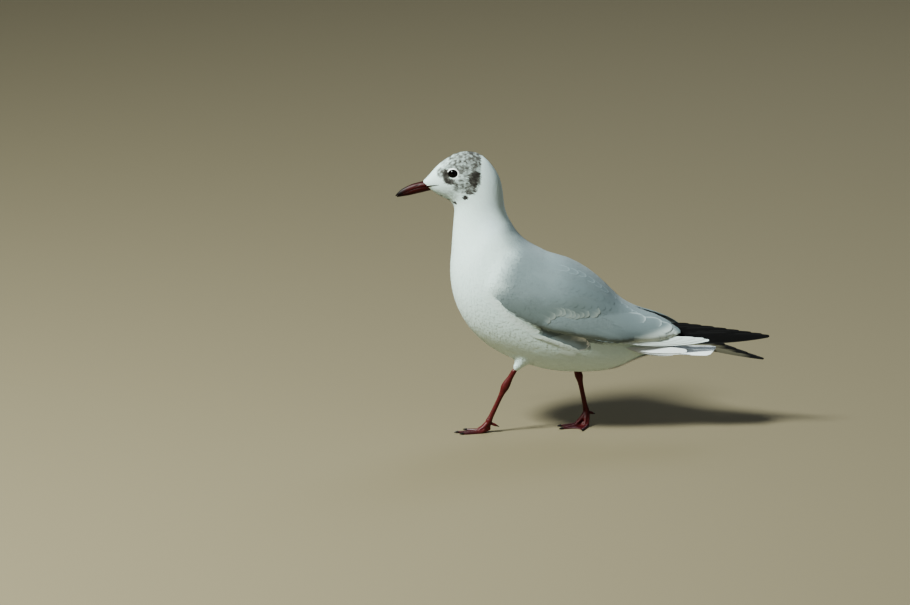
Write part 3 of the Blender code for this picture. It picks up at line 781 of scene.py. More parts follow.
@dataclass
class Markings:
    """The bird's colours, for the skin and for every feather.

    A pair such as mantle_fade is where a colour starts and where it is full. Two pairs
    are where it comes and where it goes. Those that end in "along" are places on the
    bird's length, and those in "up" and "top" are heights.

    Attributes:
        lie: The lie of the coat, which tells where the mantle and the wings end.
        rump_top: The top of the white rump, as (x, z) places.
        fringe: The edge over the wing's pale lower panel.
        hem: The top of the pale hem at the rear of the wing, which is partly the white of the feathers
            there and partly painted light over the shade under the wing's edge.
        smudges: The dark patches that are left of the hood.
    """

    lie: LieOfCoat
    white: str = "#E8F8F4"
    # painted shade: a cooler, darker white for the back of the neck, which faces away from the light
    hindneck_painted_shade: str = "#DDEBED"
    grey: str = "#8C989B"
    # painted shade: a darker grey for the lower and rear parts of the folded wing
    wing_grey: str = "#727D80"
    # painted shadow: a darker grey band over the pale lower panel, under the scapulars
    scapular_shadow_grey: str = "#727C7B"
    # partly the feathers' own white, partly painted light over the shade under the wing's edge
    hem_white: str = "#DDE6E4"
    # painted shade: grey for the white flank just under the wing's lower edge
    under_wing_shade_grey: str = "#6C787C"
    hood: str = "#2B2621"
    hood_worn: str = "#66645F"
    hind_along: Pair = (-118, -92)
    hind_up: tuple[Pair, Pair] = ((196, 226), (280, 296))
    mantle_fade: Pair = (-12, 16)
    mantle_top: Pair = (206, 238)
    wing_edge: Pair = (-1.5, 1.5)
    rump_along: Pair = (36, 44)
    rump_over: Pair = (1, 4)
    rump_half: Pair = (11, 15)
    shade_down: Pair = (0.1, 0.8)
    shade_along: tuple[Pair, Pair] = ((-70, 10), (-45, -5))
    shade_least: float = 0.75
    panel_along: tuple[Pair, Pair] = ((-60, -40), (20, 55))
    panel_light: float = 0.9
    fringe_fade: Pair = (-1, 3)
    scapular_shadow_top: Pair = (134, 158)
    scapular_shadow_end: Pair = (-12, 26)
    hem_fade: Pair = (-4, 5)
    hem_along: Pair = (38, 54)
    under_wing_shade_depth: Pair = (-10, -7)
    under_wing_shade_along: tuple[Pair, Pair] = ((-52, -42), (3, 8))
    hood_edge: Pair = (0.3, 1.3)
    hood_end: Pair = (-106.5, -104.0)
    worn_from: Pair = (0.0, 0.72)
    dark_from: Pair = (0.5, 1.0)
    rump_top: Line = ((27, 139.5), (40, 126), (51, 114), (62, 104), (75, 96.5), (140, 90))
    fringe: Line = ((-56, 108), (-38, 126), (-21, 133), (-10, 131), (2, 128), (9, 129.5), (30, 128))
    hem: Line = ((42, 96), (49, 99), (60, 103), (70, 107), (80, 111), (90, 113), (101, 103))
    smudges: tuple[Smudge, ...] = (
        Smudge(-146.6, 275.4, 5.4, 6.0, 0.52),
        Smudge(-142.2, 274.0, 4.4, 6.4, 0.84),
        Smudge(-138.0, 267.0, 7.4, 3.8, 0.8, -0.1),
        Smudge(-110.6, 273.6, 5.4, 5.4, 0.93),
        Smudge(-112.6, 266.6, 5.0, 7.0, 0.86, 0.3),
        Smudge(-112.2, 269.8, 8.0, 10.6, 0.72, -0.1),
        Smudge(-116.4, 259.2, 8.6, 7.2, 0.64, 0.4),
        Smudge(-126.0, 262.6, 11.0, 9.0, 0.5, 0.2),
        Smudge(-138.4, 291.0, 2.6, 3.8, 0.6, 0.5),
        Smudge(-129.9, 295.2, 3.2, 2.8, 0.64, 0.2),
        Smudge(-116.0, 295.6, 5.6, 2.8, 0.78, -0.2),
        Smudge(-111.0, 287.0, 6.6, 11.0, 0.64, -0.2),
        Smudge(-122.0, 285.0, 22.0, 14.0, 0.56, 0.1),
        Smudge(-120.0, 273.0, 17.0, 13.0, 0.4),
        Smudge(-142.5, 286.0, 6.0, 7.5, 0.34),
        Smudge(-121.7, 249.9, 3.1, 3.0, 0.9),
        Smudge(-132.8, 242.8, 2.5, 2.0, 0.85),
        Smudge(-147.0, 249.8, 2.0, 1.5, 0.55),
        Smudge(-139.4, 245.6, 2.2, 1.6, 0.55),
        Smudge(-139.0, 252.5, 20.0, 9.0, 0.2),
    )

    def hood_share(self, points: Array) -> Array:
        """How dark the fading hood is at each point, from 0 to 1."""
        total = np.zeros(len(points))
        for smudge in self.smudges:
            x, z = points[:, 0] - smudge.x, points[:, 2] - smudge.z
            c, s = math.cos(smudge.turn), math.sin(smudge.turn)
            a = (x * c + z * s) / smudge.half_length
            b = (z * c - x * s) / smudge.half_height
            inside = 1 - smoothstep(*self.hood_edge, a * a + b * b)
            total = np.maximum(total, smudge.strength * inside)
        return total * (1 - smoothstep(*self.hood_end, points[:, 0]))

    def colours(self, points: Array) -> Array:
        """The linear colour of the plumage at each point."""
        x, y, z = points.T
        out = plain(self.white, len(points))
        broad, fine = clouds(points, 14.0, 1), clouds(points, 2.6, 2)
        # Painted shade on the back of the neck, which faces away from the light.
        hind = smoothstep(*self.hind_along, x) * window(z, *self.hind_up)
        out = blend(out, self.hindneck_painted_shade, hind * (0.75 + 0.25 * broad))
        front, low = level(z, self.lie.mantle_front), level(x, self.lie.wing_low)
        crest, over_low = level(x, self.lie.ridge), smoothstep(*self.wing_edge, z - low)
        grey = smoothstep(*self.mantle_fade, x - front + 3 * broad) * over_low
        grey *= 1 - smoothstep(*self.mantle_top, z)
        rump = 1 - smoothstep(*self.rump_over, z - level(x, self.rump_top))
        rump *= smoothstep(*self.rump_along, x) * (1 - smoothstep(*self.rump_half, abs(y)))
        grey *= 1 - rump
        out = blend(out, self.grey, grey)
        # Painted shade: the grey darkens lower down the folded wing and towards the rear of the back, where
        # the scapulars and the fold shade it; under the fringe, on the pale lower panel, most of it is
        # taken off again.
        deep = np.clip((crest - z) / np.maximum(crest - low, 1.0), 0, 1)
        shade = smoothstep(*self.shade_down, deep) * smoothstep(*self.shade_along[0], x)
        shade = np.maximum(shade, self.shade_least * smoothstep(*self.shade_along[1], x))
        over = smoothstep(*self.fringe_fade, z - level(x, self.fringe))
        shade *= 1 - self.panel_light * (1 - over) * window(x, *self.panel_along)
        out = blend(out, self.wing_grey, grey * shade)
        # Painted shadow: a darker band just over the fringe, towards the front, where the scapulars' bulk
        # shades the wing.
        band = over * (1 - smoothstep(*self.scapular_shadow_top, z + 2 * broad))
        band *= 1 - smoothstep(*self.scapular_shadow_end, x)
        out = blend(out, self.scapular_shadow_grey, grey * band)
        # Partly the white of the feathers at the wing's rear lower edge, partly painted light that lifts
        # the shade under the wing's edge.
        hem = 1 - smoothstep(*self.hem_fade, z - level(x, self.hem) + broad)
        out = blend(out, self.hem_white, grey * hem * smoothstep(*self.hem_along, x))
        # Painted shade: a grey strip on the white flank just under the wing's lower edge, where the wing
        # shades it.
        under_wing_shade = smoothstep(*self.under_wing_shade_depth, z - low) * (1 - over_low)
        out = blend(out, self.under_wing_shade_grey, under_wing_shade * window(x, *self.under_wing_shade_along))
        hood = self.hood_share(points)
        dark = np.clip(hood * (1.0 + 0.7 * fine * (1.1 - hood)), 0, 1)
        out = blend(out, self.hood_worn, smoothstep(*self.worn_from, dark))
        return blend(out, self.hood, smoothstep(*self.dark_from, dark))


# Feathers


@dataclass(frozen=True)
class VanePattern:
    """The layout of one feather's faces: a top of rows and columns, and a keeled base.

    The first row is the root's one corner. Each later row has a corner for each column,
    and each but the last has one more under the shaft.
    """

    rows: tuple[float, ...]
    columns: tuple[float, ...]

    @property
    def steps(self) -> Array:
        """Shares of the length, from the root's corner to the last row."""
        return np.concatenate([[0], self.rows])

    @property
    def corners(self) -> int:
        """How many corners one feather has."""
        return 1 + len(self.rows) * len(self.columns) + len(self.rows) - 1

    @property
    def upper_faces(self) -> int:
        """How many faces its upper side has."""
        return (len(self.columns) - 1) * (2 * len(self.rows) - 1)

    @property
    def faces(self) -> int:
        """How many faces it has."""
        return self.upper_faces + 4 * (len(self.rows) - 1) + len(self.columns) - 1

    def triangles(self) -> Array:
        """The triangles of one feather, facing out."""
        rows, columns = len(self.rows), len(self.columns)

        def top(row: int, column: int) -> int:
            return 1 + row * columns + column

        def keel(row: int) -> int:
            return 1 + rows * columns + row

        faces = [(0, top(0, c), top(0, c + 1)) for c in range(columns - 1)]
        for r in range(rows - 1):
            for c in range(columns - 1):
                faces.append((top(r, c), top(r + 1, c), top(r + 1, c + 1)))
                faces.append((top(r, c), top(r + 1, c + 1), top(r, c + 1)))
        for edge, flip in ((0, False), (columns - 1, True)):
            side = [(0, keel(0), top(0, edge))]
            for r in range(rows - 2):
                near, far = top(r, edge), top(r + 1, edge)
                if flip:
                    side += [(near, keel(r), far), (keel(r), keel(r + 1), far)]
                else:
                    side += [(near, keel(r), keel(r + 1)), (near, keel(r + 1), far)]
            side.append((top(rows - 2, edge), keel(rows - 2), top(rows - 1, edge)))
            faces += [face[::-1] if flip else face for face in side]
        last = keel(rows - 2)
        faces += [(top(rows - 1, c + 1), top(rows - 1, c), last) for c in range(columns - 1)]
        return np.array(faces)


SMALL_VANE = VanePattern((0.55, 1.0), (-1.0, 0.0, 1.0))
BODY_VANE = VanePattern((0.4, 0.78, 1.0), (-1.0, -0.4, 0.4, 1.0))
COVERT_VANE = VanePattern((0.12, 0.3, 0.5, 0.68, 0.84, 0.94, 1.0), (-1.0, -0.66, -0.3, 0.0, 0.3, 0.66, 1.0))
QUILL_VANE = VanePattern(
    (0.04, 0.14, 0.26, 0.38, 0.5, 0.62, 0.73, 0.82, 0.9, 0.95, 0.98, 1.0),
    (-1.0, -0.7, -0.35, -0.06, 0.0, 0.06, 0.35, 0.7, 1.0),
)


@dataclass
class Feathers:
    """Many feathers of one pattern, as arrays with a row for each feather.

    Attributes:
        pattern: The layout of the faces.
        roots: Where each feather starts, (n, 3).
        grid: The vane's corners, (n, rows, columns, 3).
        normals: The direction away from the body at each of them, of the same shape.
        lengths: Each feather's length, (n,).
        widths: Each feather's greatest width, (n,).
        thickness: Depth of the keel under the shaft, in millimetres.
        flatness: How much of the body's own normal goes into the shading.
    """

    pattern: VanePattern
    roots: Array
    grid: Array
    normals: Array
    lengths: Array
    widths: Array
    thickness: float = 0.1
    flatness: float = 0.6

    def points(self) -> Array:
        """Every feather's root, vane corners and keel, (n, corners, 3)."""
        columns, count = len(self.pattern.columns), len(self.roots)
        middle = [(columns - 1) // 2, columns // 2]
        keels = self.grid[:, :-1, middle].mean(axis=2)
        keels = keels - self.normals[:, :-1, middle].mean(axis=2) * self.thickness
        return np.concatenate([self.roots[:, None], self.grid.reshape(count, -1, 3), keels], 1)

    def mesh(
        self, name: str, paint: Callable[..., Array], places: Array, patch: float | Array
    ) -> bpy.types.Mesh:
        """Makes one mesh of all the feathers.

        Args:
            name: The mesh's name.
            paint: Takes the share along, the place across and the feather's number at
                each corner, each (n, corners), and returns linear colours.
            places: Each feather's place on the unwrap, (n, 2).
            patch: The size of a feather's patch on the unwrap, along and across.

        Returns:
            The mesh, with its colours, barb directions and map.
        """
        pattern, count, points = self.pattern, len(self.roots), self.points()
        rows, columns = len(pattern.rows), len(pattern.columns)
        offsets = np.arange(count)[:, None, None] * pattern.corners
        faces = (pattern.triangles() + offsets).reshape(-1, 3)
        mesh = triangle_mesh(name, points.reshape(-1, 3), faces)
        station, column = np.array(pattern.rows), np.array(pattern.columns)
        along = np.concatenate([[0], np.repeat(station, columns), station[:-1]])
        aside = np.concatenate([[0], np.tile(column, rows), np.zeros(rows - 1)])
        along, aside = np.tile(along, (count, 1)), np.tile(aside, (count, 1))
        number = np.tile(np.arange(count)[:, None], (1, pattern.corners))
        put_colours(mesh, "plumage", paint(along, aside, number).reshape(-1, 3))
        out, reach = aside * self.widths[:, None] / 2, along * self.lengths[:, None]
        put_vectors(mesh, "vane", np.stack([out, reach, number], -1).reshape(-1, 3))
        local = np.stack([along, aside * 0.5 + 0.5], axis=-1) - 0.5
        put_uv(mesh, (places[:, None] + local * patch).reshape(-1, 2))
        self.shade_softly(mesh, points.reshape(-1, 3), faces)
        return mesh

    def shade_softly(self, mesh: bpy.types.Mesh, points: Array, faces: Array) -> None:
        """Bends the shading of the upper faces towards the body's own, as down does."""
        pattern, count = self.pattern, len(self.roots)
        corners = points[faces]
        own = unit(face_normals(corners))
        own = np.repeat(own[:, None], 3, axis=1)
        root = self.normals[:, 0].mean(axis=1, keepdims=True)
        keels = self.normals[:, :-1].mean(axis=2)
        body = np.concatenate([root, self.normals.reshape(count, -1, 3), keels], axis=1)
        body = body.reshape(-1, 3)[faces]
        upper = np.zeros(pattern.faces)
        upper[: pattern.upper_faces] = self.flatness
        share = np.tile(upper, count)[:, None, None]
        mixed = unit(own * (1 - share) + body * share)
        mesh.normals_split_custom_set(mixed.reshape(-1, 3).tolist())


def profile(rows: Sequence[float], widest_at: float, tip: float) -> Array:
    """Half-widths along a feather as shares of its widest, with a rounded tip."""
    s = np.array(rows)
    rise = np.sin(np.clip(s / widest_at, 0, 1) * math.pi / 2) ** 0.8
    fall = 1 - (1 - tip) * np.clip((s - widest_at) / (1 - widest_at), 0, 1) ** 2.4
    return rise * fall


@dataclass(frozen=True)
class Lay:
    """How feathers lie on what is under them.

    Attributes:
        base: How far off the surface the roots are.
        rise: How much further off the tips are.
        camber: How far the edges droop, as a share of the half-width.
        ragged: How uneven the tips are, as a share of the length.
        round_tip: How far the tip's corners stand back, as a share of the half-width.
        widest: Where the vane is widest, as a share of its length.
        tip: How wide its tip is, as a share.
        thickness: Depth of the keel under the shaft, in millimetres.
        flatness: How much of the body's own normal goes into the shading.
    """

    base: float
    rise: float
    camber: float = 0.10
    ragged: float = 0.06
    round_tip: float = 0.9
    widest: float = 0.62
    tip: float = 0.62
    thickness: float = 0.06
    flatness: float = 0.88

    def drape(
        self, surface: Surface, pattern: VanePattern, roots: Array, headings: Array,
        lengths: Array, widths: Array, lift: Array, rng: Chance,
    ) -> Feathers:
        """Lays feathers over a surface, so that every corner follows it.

        Args:
            surface: The surface to follow.
            pattern: The feathers' pattern.
            roots: Starting places on it, (n, 3).
            headings: Directions along it, (n, 3).
            lengths: Feather lengths, (n,).
            widths: Feather widths, (n,).
            lift: Each feather's share of the rise, (n,).
            rng: The source of chance.

        Returns:
            The feathers.
        """
        count, columns = len(roots), np.array(pattern.columns)
        place, heading, before = roots, headings, 0.0
        _, normal = surface.nearest(roots)
        raised = roots + normal * self.base
        shape = profile(pattern.rows, self.widest, self.tip)
        grid, softs = [], []
        for i, share in enumerate(pattern.rows):
            ahead = place + heading * (lengths * (share - before))[:, None]
            place, normal = surface.nearest(ahead)
            heading = unit(heading - normal * dot(heading, normal))
            across = np.cross(normal, heading)
            half = widths / 2 * shape[i]
            tip_half = widths / 2 * shape[-1]
            back = self.round_tip * share**6 * tip_half[:, None] * columns**2
            if i == len(pattern.rows) - 1:
                back = back + rng.random(back.shape) * self.ragged * lengths[:, None]
            spots = place[:, None] + across[:, None] * (half[:, None] * columns)[..., None]
            spots = spots - heading[:, None] * back[..., None]
            flat, normals, soft = surface.nearest_soft(spots.reshape(-1, 3))
            height = self.base + self.rise * lift * share**1.3
            height = height[:, None] - self.camber * half[:, None] * columns**2
            flat = flat + normals * np.maximum(height, 0.04).reshape(-1, 1)
            grid.append(flat.reshape(count, -1, 3))
            softs.append(soft.reshape(count, -1, 3))
            before = share
        return Feathers(
            pattern, raised, np.stack(grid, 1), np.stack(softs, 1), lengths, widths,
            self.thickness, self.flatness,
        )


def turned(headings: Array, normals: Array, angles: Array) -> Array:
    """The headings, turned about the normals by angles in radians."""
    sideways = np.cross(normals, headings)
    return headings * np.cos(angles)[:, None] + sideways * np.sin(angles)[:, None]


# Skin


@dataclass(frozen=True)
class Leg:
    """The joints of one leg, and what is round them under the skin.

    Attributes:
        side: Which leg it is.
        thigh_top: Where the thigh leaves the body.
        thigh_end: Where its feathers end.
        hock: The middle joint.
        ankle: The joint over the foot.
        claws: The names of the claws on the front toes, without their side.
    """

    side: Side
    thigh_top: Triple
    thigh_end: Triple
    hock: Triple
    ankle: Triple
    claws: tuple[str, ...] = ("inner", "middle", "outer")

    def claw_base(self, claw: str) -> Array:
        """The middle of a claw's wide end."""
        points, _ = solid_arrays([f"claw_{self.side.word}_{claw}"])
        reach = length(points[:, :2] - np.array(self.ankle)[:2])
        return points[reach < reach.min() + 0.6].mean(axis=0)

    def forms(self) -> list[tuple[Sequence[float], Sequence[float], float, float]]:
        """Rounded forms that fill the joints out: start, end and the radius at each."""
        ankle, hock = np.array(self.ankle), np.array(self.hock)
        thigh, top = np.array(self.thigh_end), np.array(self.thigh_top)
        forms = [
            (thigh + (hock - thigh) * 0.25, thigh + (top - thigh) * 0.45, 2.2, 2.4),
            (ankle + unit(hock - ankle) * 11, ankle, 1.9, 2.9),
        ]
        for claw in self.claws:
            base = self.claw_base(claw)
            flat = base - ankle
            pad = ankle + flat * 0.16 + np.array([0, 0, -ankle[2] * 0.28])
            forms.append((ankle, pad, 2.9, 2.5))
            knuckle = ankle + flat * 0.42
            knuckle[2] = 0.6 * base[2] + 0.17 * ankle[2]
            forms.append((pad, knuckle, 2.3, 1.1))
            toe = base - unit(flat) * 3.0
            toe[2] = base[2] * 0.96
            forms.append((toe, base + unit(flat) * 0.3, 0.95, 0.9))
        hind = self.claw_base("hind")
        forms.append((ankle + (hind - ankle) * 0.5, hind + unit(hind - ankle) * 0.3, 1.0, 0.8))
        return forms

    def thigh_form(self) -> tuple[Sequence[float], Sequence[float], float, float]:
        """The rounded form that fills the thigh out."""
        top, end = np.array(self.thigh_top), np.array(self.thigh_end)
        return end + (top - end) * 0.9, end + (top - end) * 0.1, 7.4, 3.7

    def grooves(self, points: Array, normals: Array) -> Array:
        """How deep in a groove between two scales each point is, from 0 to 1."""
        ankle, hock = np.array(self.ankle), np.array(self.hock)
        shaft = unit(hock - ankle)
        up = (points - ankle) @ shaft
        front = smoothstep(-0.1, 0.3, -normals[:, 0])
        tall = window(up, (1, 4), (36, 42))
        ring = np.exp(-(((up / 2.7) % 1 - 0.5) ** 2) / 0.006)
        reach = length(points[:, :2] - ankle[:2])
        step = np.exp(-(((reach / 1.9) % 1 - 0.5) ** 2) / 0.012)
        toes = smoothstep(0.25, 0.6, normals[:, 2]) * (1 - smoothstep(9, 12, points[:, 2]))
        return ring * front * tall + step * toes * smoothstep(8, 13, reach)


LEGS = (
    Leg(Side.LEFT, (-57, -19, 86), (-70.9, -18.8, 67.4), (-80.5, -18.2, 50.2), (-98.6, -17.8, 10.6)),
    Leg(Side.RIGHT, (-15, 17, 84), (-8.6, 15.6, 63.3), (-3.8, 15.0, 54.6), (4.4, 14.2, 14.8)),
)


@dataclass
class Skin:
    """One skin for all the flesh: thin under the feathers, and scaled on the legs."""

    lie: LieOfCoat
    markings: Markings
    fleshy: tuple[str, ...] = (
        "head", "neck", "trunk", "wing_left", "wing_right", "thigh_left", "thigh_right",
    )
    bare: tuple[str, ...] = ("shank", "foot", "hind_toe")
    body_voxel: float = 1.6
    leg_voxel: float = 0.46
    groove_depth: float = 0.16
    leg_red: str = "#5A1819"
    leg_bright: str = "#6E2A25"
    # a dusky tone: random mottles on the leg, and painted shade at the hocks
    leg_dusk_and_hock_shade: str = "#4A1214"
    # painted shade for the backs of the legs
    leg_back_shade: str = "#3C0F10"
    toe_purple: str = "#3A161C"
    groove_red: str = "#2E0C0D"
    ease_place: Pair = (-74.0, 190.0)
    ease_reach: Pair = (34.0, 30.0)
    ease_rounds: int = 40
    closing: float = 0.35

    def body_arrays(self) -> Form:
        """The feathered skin: the flesh solids as one, shrunk by the coat's depth."""
        pieces = [solid_arrays(self.fleshy, self.closing)]
        pieces += [capsule(*leg.thigh_form()) for leg in LEGS]
        points, triangles = remeshed(*joined(pieces), self.body_voxel, 12)
        points = self.eased(points, triangles)
        outer = Surface(points, triangles, 4)
        depth = self.lie.size(points, "depth") + self.closing
        return points - outer.normals * depth[:, None], triangles

    def eased(self, points: Array, triangles: Array) -> Array:
        """The corners, evened out where the wings' leading ends run into the neck."""
        x, _, z = points.T
        here, reach = np.array(self.ease_place), np.array(self.ease_reach)
        gap = ((x - here[0]) / reach[0]) ** 2 + ((z - here[1]) / reach[1]) ** 2
        share = (1 - smoothstep(0.35, 1.0, gap))[:, None]
        weight = gathered(triangles, 3.0, np.zeros((len(points), 1)))
        for _ in range(self.ease_rounds):
            total = gathered(triangles, points[triangles].sum(axis=1), np.zeros_like(points))
            points = points + (total / weight - points) * share
        return points

    def leg_arrays(self, leg: Leg) -> Form:
        """One bare leg with its foot, with its joints filled out and its scales raised."""
        names = [f"{name}_{leg.side.word}" for name in self.bare]
        pieces = [solid_arrays(names, 0.2)] + [capsule(*form) for form in leg.forms()]
        points, triangles = remeshed(*joined(pieces), self.leg_voxel, 6)
        surface = Surface(points, triangles, 1)
        groove = leg.grooves(points, surface.normals)
        return points - surface.normals * (self.groove_depth * groove)[:, None], triangles

    def leg_colours(self, points: Array, normals: Array, leg: Leg) -> Array:
        """Red legs, darker between the scales, with painted shade on their backs and at the hocks, and
        dusky purple toes.
        """
        ahead = length(points[:, :2] - np.array(leg.ankle)[:2])
        low = (1 - smoothstep(4, 13, points[:, 2])) * smoothstep(2, 22, ahead)
        patch = clouds(points, 3.0, 5)
        out = plain(self.leg_red, len(points))
        out = blend(out, self.leg_bright, np.clip(clouds(points, 1.6, 8) * 0.7, 0, 1))
        out = blend(out, self.toe_purple, low * 0.85)
        out = blend(out, self.leg_dusk_and_hock_shade, np.clip(patch * 0.55, 0, 1))
        # Painted shade: the backs of the legs, which face away from the light, are darker.
        back_shade = smoothstep(0.2, 0.95, normals[:, 0]) * smoothstep(8, 14, points[:, 2])
        out = blend(out, self.leg_back_shade, back_shade * 0.6)
        # Painted shade at the hock, under the belly; the same dusky colour also mottles the leg at random.
        joint = np.exp(-((length(points - np.array(leg.hock)) / 4.5) ** 2))
        out = blend(out, self.leg_dusk_and_hock_shade, joint * 0.45)
        return blend(out, self.groove_red, leg.grooves(points, normals) * 0.6)

    def build(self) -> Surface:
        """Makes the skin and returns its feathered part as a surface."""
        points, triangles = self.body_arrays()
        body = Surface(points, triangles, 3, 12)
        pieces, colours = [(points, triangles)], [self.markings.colours(points)]
        counts = [len(triangles)]
        for leg in LEGS:
            arrays = self.leg_arrays(leg)
            pieces.append(arrays)
            colours.append(self.leg_colours(arrays[0], Surface(*arrays, 1).normals, leg))
            counts.append(len(arrays[1]))
        mesh = tinted_mesh("skin", joined(pieces), np.concatenate(colours))
        skin = add_piece("skin", mesh, BODY_SKIN)
        mesh.materials.append(LEG_SKIN.build())
        kinds = np.zeros(sum(counts), dtype=np.int32)
        kinds[counts[0] :] = 1
        mesh.polygons.foreach_set("material_index", kinds)
        bare = [f"{name}_{side.word}" for side in Side for name in self.bare]
        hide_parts(*self.fleshy, *bare)
        return body


# Contour feathers


@dataclass
class Coat:
    """The small feathers over the whole body, laid from the face to the tail."""

    lie: LieOfCoat
    markings: Markings
    skin: Surface
    seed: int = 11
    gape: Triple = (-159.5, 256.0, 261.2)
    wing_end: float = 84.0
    turn_spread: float = 0.13
    tone_spread: Pair = (0.975, 1.015)
    spreads: tuple[tuple[str, Pair], ...] = (
        ("length", (0.82, 1.15)), ("width", (0.85, 1.15)), ("depth", (0.75, 1.1)),
    )
    tracts: tuple[tuple[str, float, float, VanePattern, str], ...] = (
        ("face_feathers", 0.0, 64.0, SMALL_VANE, "head_plumage"),
        ("neck_feathers", 64.0, 118.0, BODY_VANE, "white_plumage"),
        ("breast_feathers", 118.0, 155.0, BODY_VANE, "white_plumage"),
        ("shoulder_feathers", 155.0, 196.0, BODY_VANE, "white_plumage"),
        ("back_feathers", 196.0, 240.0, BODY_VANE, "grey_plumage"),
        ("belly_feathers", 240.0, 286.0, BODY_VANE, "white_plumage"),
        ("vent_feathers", 286.0, 420.0, BODY_VANE, "white_plumage"),
    )

    def wanted(self, roots: Array) -> Array:
        """Which feathers would neither start nor end over an eye."""
        _, normals = self.skin.nearest(roots)
        tips = roots + self.lie.heading(roots, normals) * self.lie.size(roots, "length")[:, None]
        keep = np.ones(len(roots), dtype=bool)
        for side in Side:
            eye = Eye(side)
            for places in (roots, tips):
                local = (places - eye.centre) @ eye.axes().T / np.array(eye.stretch)
                reach = length(local[:, :2])
                keep &= (reach > eye.ring_rows[-1] + 0.35) | (local[:, 2] < 0)
        x, _, z = roots.T
        keep &= (x < self.wing_end) | (self.lie.on_wing(roots) < 0.5)
        gape = (x < self.gape[0]) & (z > self.gape[1]) & (z < self.gape[2])
        return keep & ~gape

    def build(self) -> None:
        """Lays the feathers, tract by tract."""
        rng = np.random.default_rng(self.seed)
        roots = self.skin.scatter(lambda p: self.lie.size(p, "spacing"), rng)
        roots = roots[self.wanted(roots)]
        place, _ = self.lie.along(roots)
        for name, start, end, pattern, slot in self.tracts:
            chosen = roots[(place >= start) & (place < end)]
            mesh = self.tract(name, chosen, pattern, rng)
            add_piece(name, mesh, SOFT_FEATHER)

    def tract(self, name: str, roots: Array, pattern: VanePattern, rng: Chance) -> bpy.types.Mesh:
        """One tract's mesh."""
        count = len(roots)
        _, normals = self.skin.nearest(roots)
        headings = self.lie.heading(roots, normals)
        headings = turned(headings, normals, rng.normal(0, self.turn_spread, count))
        lengths, widths, lift = (
            self.lie.size(roots, kind) * rng.uniform(*ends, count) for kind, ends in self.spreads
        )
        feathers = Lay(base=0.05, rise=1.0, flatness=0.93).drape(
            self.skin, pattern, roots, headings, lengths, widths, lift, rng
        )
        colours = self.markings.colours(feathers.grid[:, len(pattern.rows) // 2].mean(axis=1))
        colours = colours * rng.uniform(*self.tone_spread, (count, 1))

        def paint(along: Array, aside: Array, number: Array) -> Array:
            return colours[number] * (1 - 0.03 * (1 - along))[..., None]

        return feathers.mesh(name, paint, self.lie.unwrapped(roots), self.lie.patch)


# Eyes


def lathe(profile_line: Sequence[Pair], turns: int) -> Form:
    """A surface of revolution about +Z.

    Args:
        profile_line: (radius, height) pairs, from the outside to the middle.
        turns: How many columns go round.

    Returns:
        Corners and triangles.
    """
    angles = np.arange(turns) * math.tau / turns
    rings = [
        np.stack([r * np.cos(angles), r * np.sin(angles), np.full(turns, h)], axis=1)
        for r, h in profile_line
    ]
    return np.concatenate(rings), tube_triangles(len(rings), turns, False)


def tube_triangles(rings: int, turns: int, capped: bool) -> Array:
    """Triangles between rings of corners, with fans over both ends if capped."""
    faces = []
    for r in range(rings - 1):
        for t in range(turns):
            a, b = r * turns + t, r * turns + (t + 1) % turns
            faces += [(a, b, b + turns), (a, b + turns, a + turns)]
    if capped:
        last = (rings - 1) * turns
        faces += [(0, t + 1, t) for t in range(1, turns - 1)]
        faces += [(last, last + t, last + t + 1) for t in range(1, turns - 1)]
    return np.array(faces)


def catmull(points: Array, steps: int) -> Array:
    """A smooth curve through rows of numbers, with steps pieces between each two."""
    padded = np.concatenate([2 * points[:1] - points[1:2], points, 2 * points[-1:] - points[-2:-1]])
    out = []
    for i in range(len(points) - 1):
        a, b, c, d = padded[i : i + 4]
        for t in np.arange(steps) / steps:
            out.append(
                (2 * b + (c - a) * t + (2 * a - 5 * b + 4 * c - d) * t**2
                 + (3 * b - a - 3 * c + d) * t**3) / 2
            )
    out.append(points[-1])
    return np.array(out)


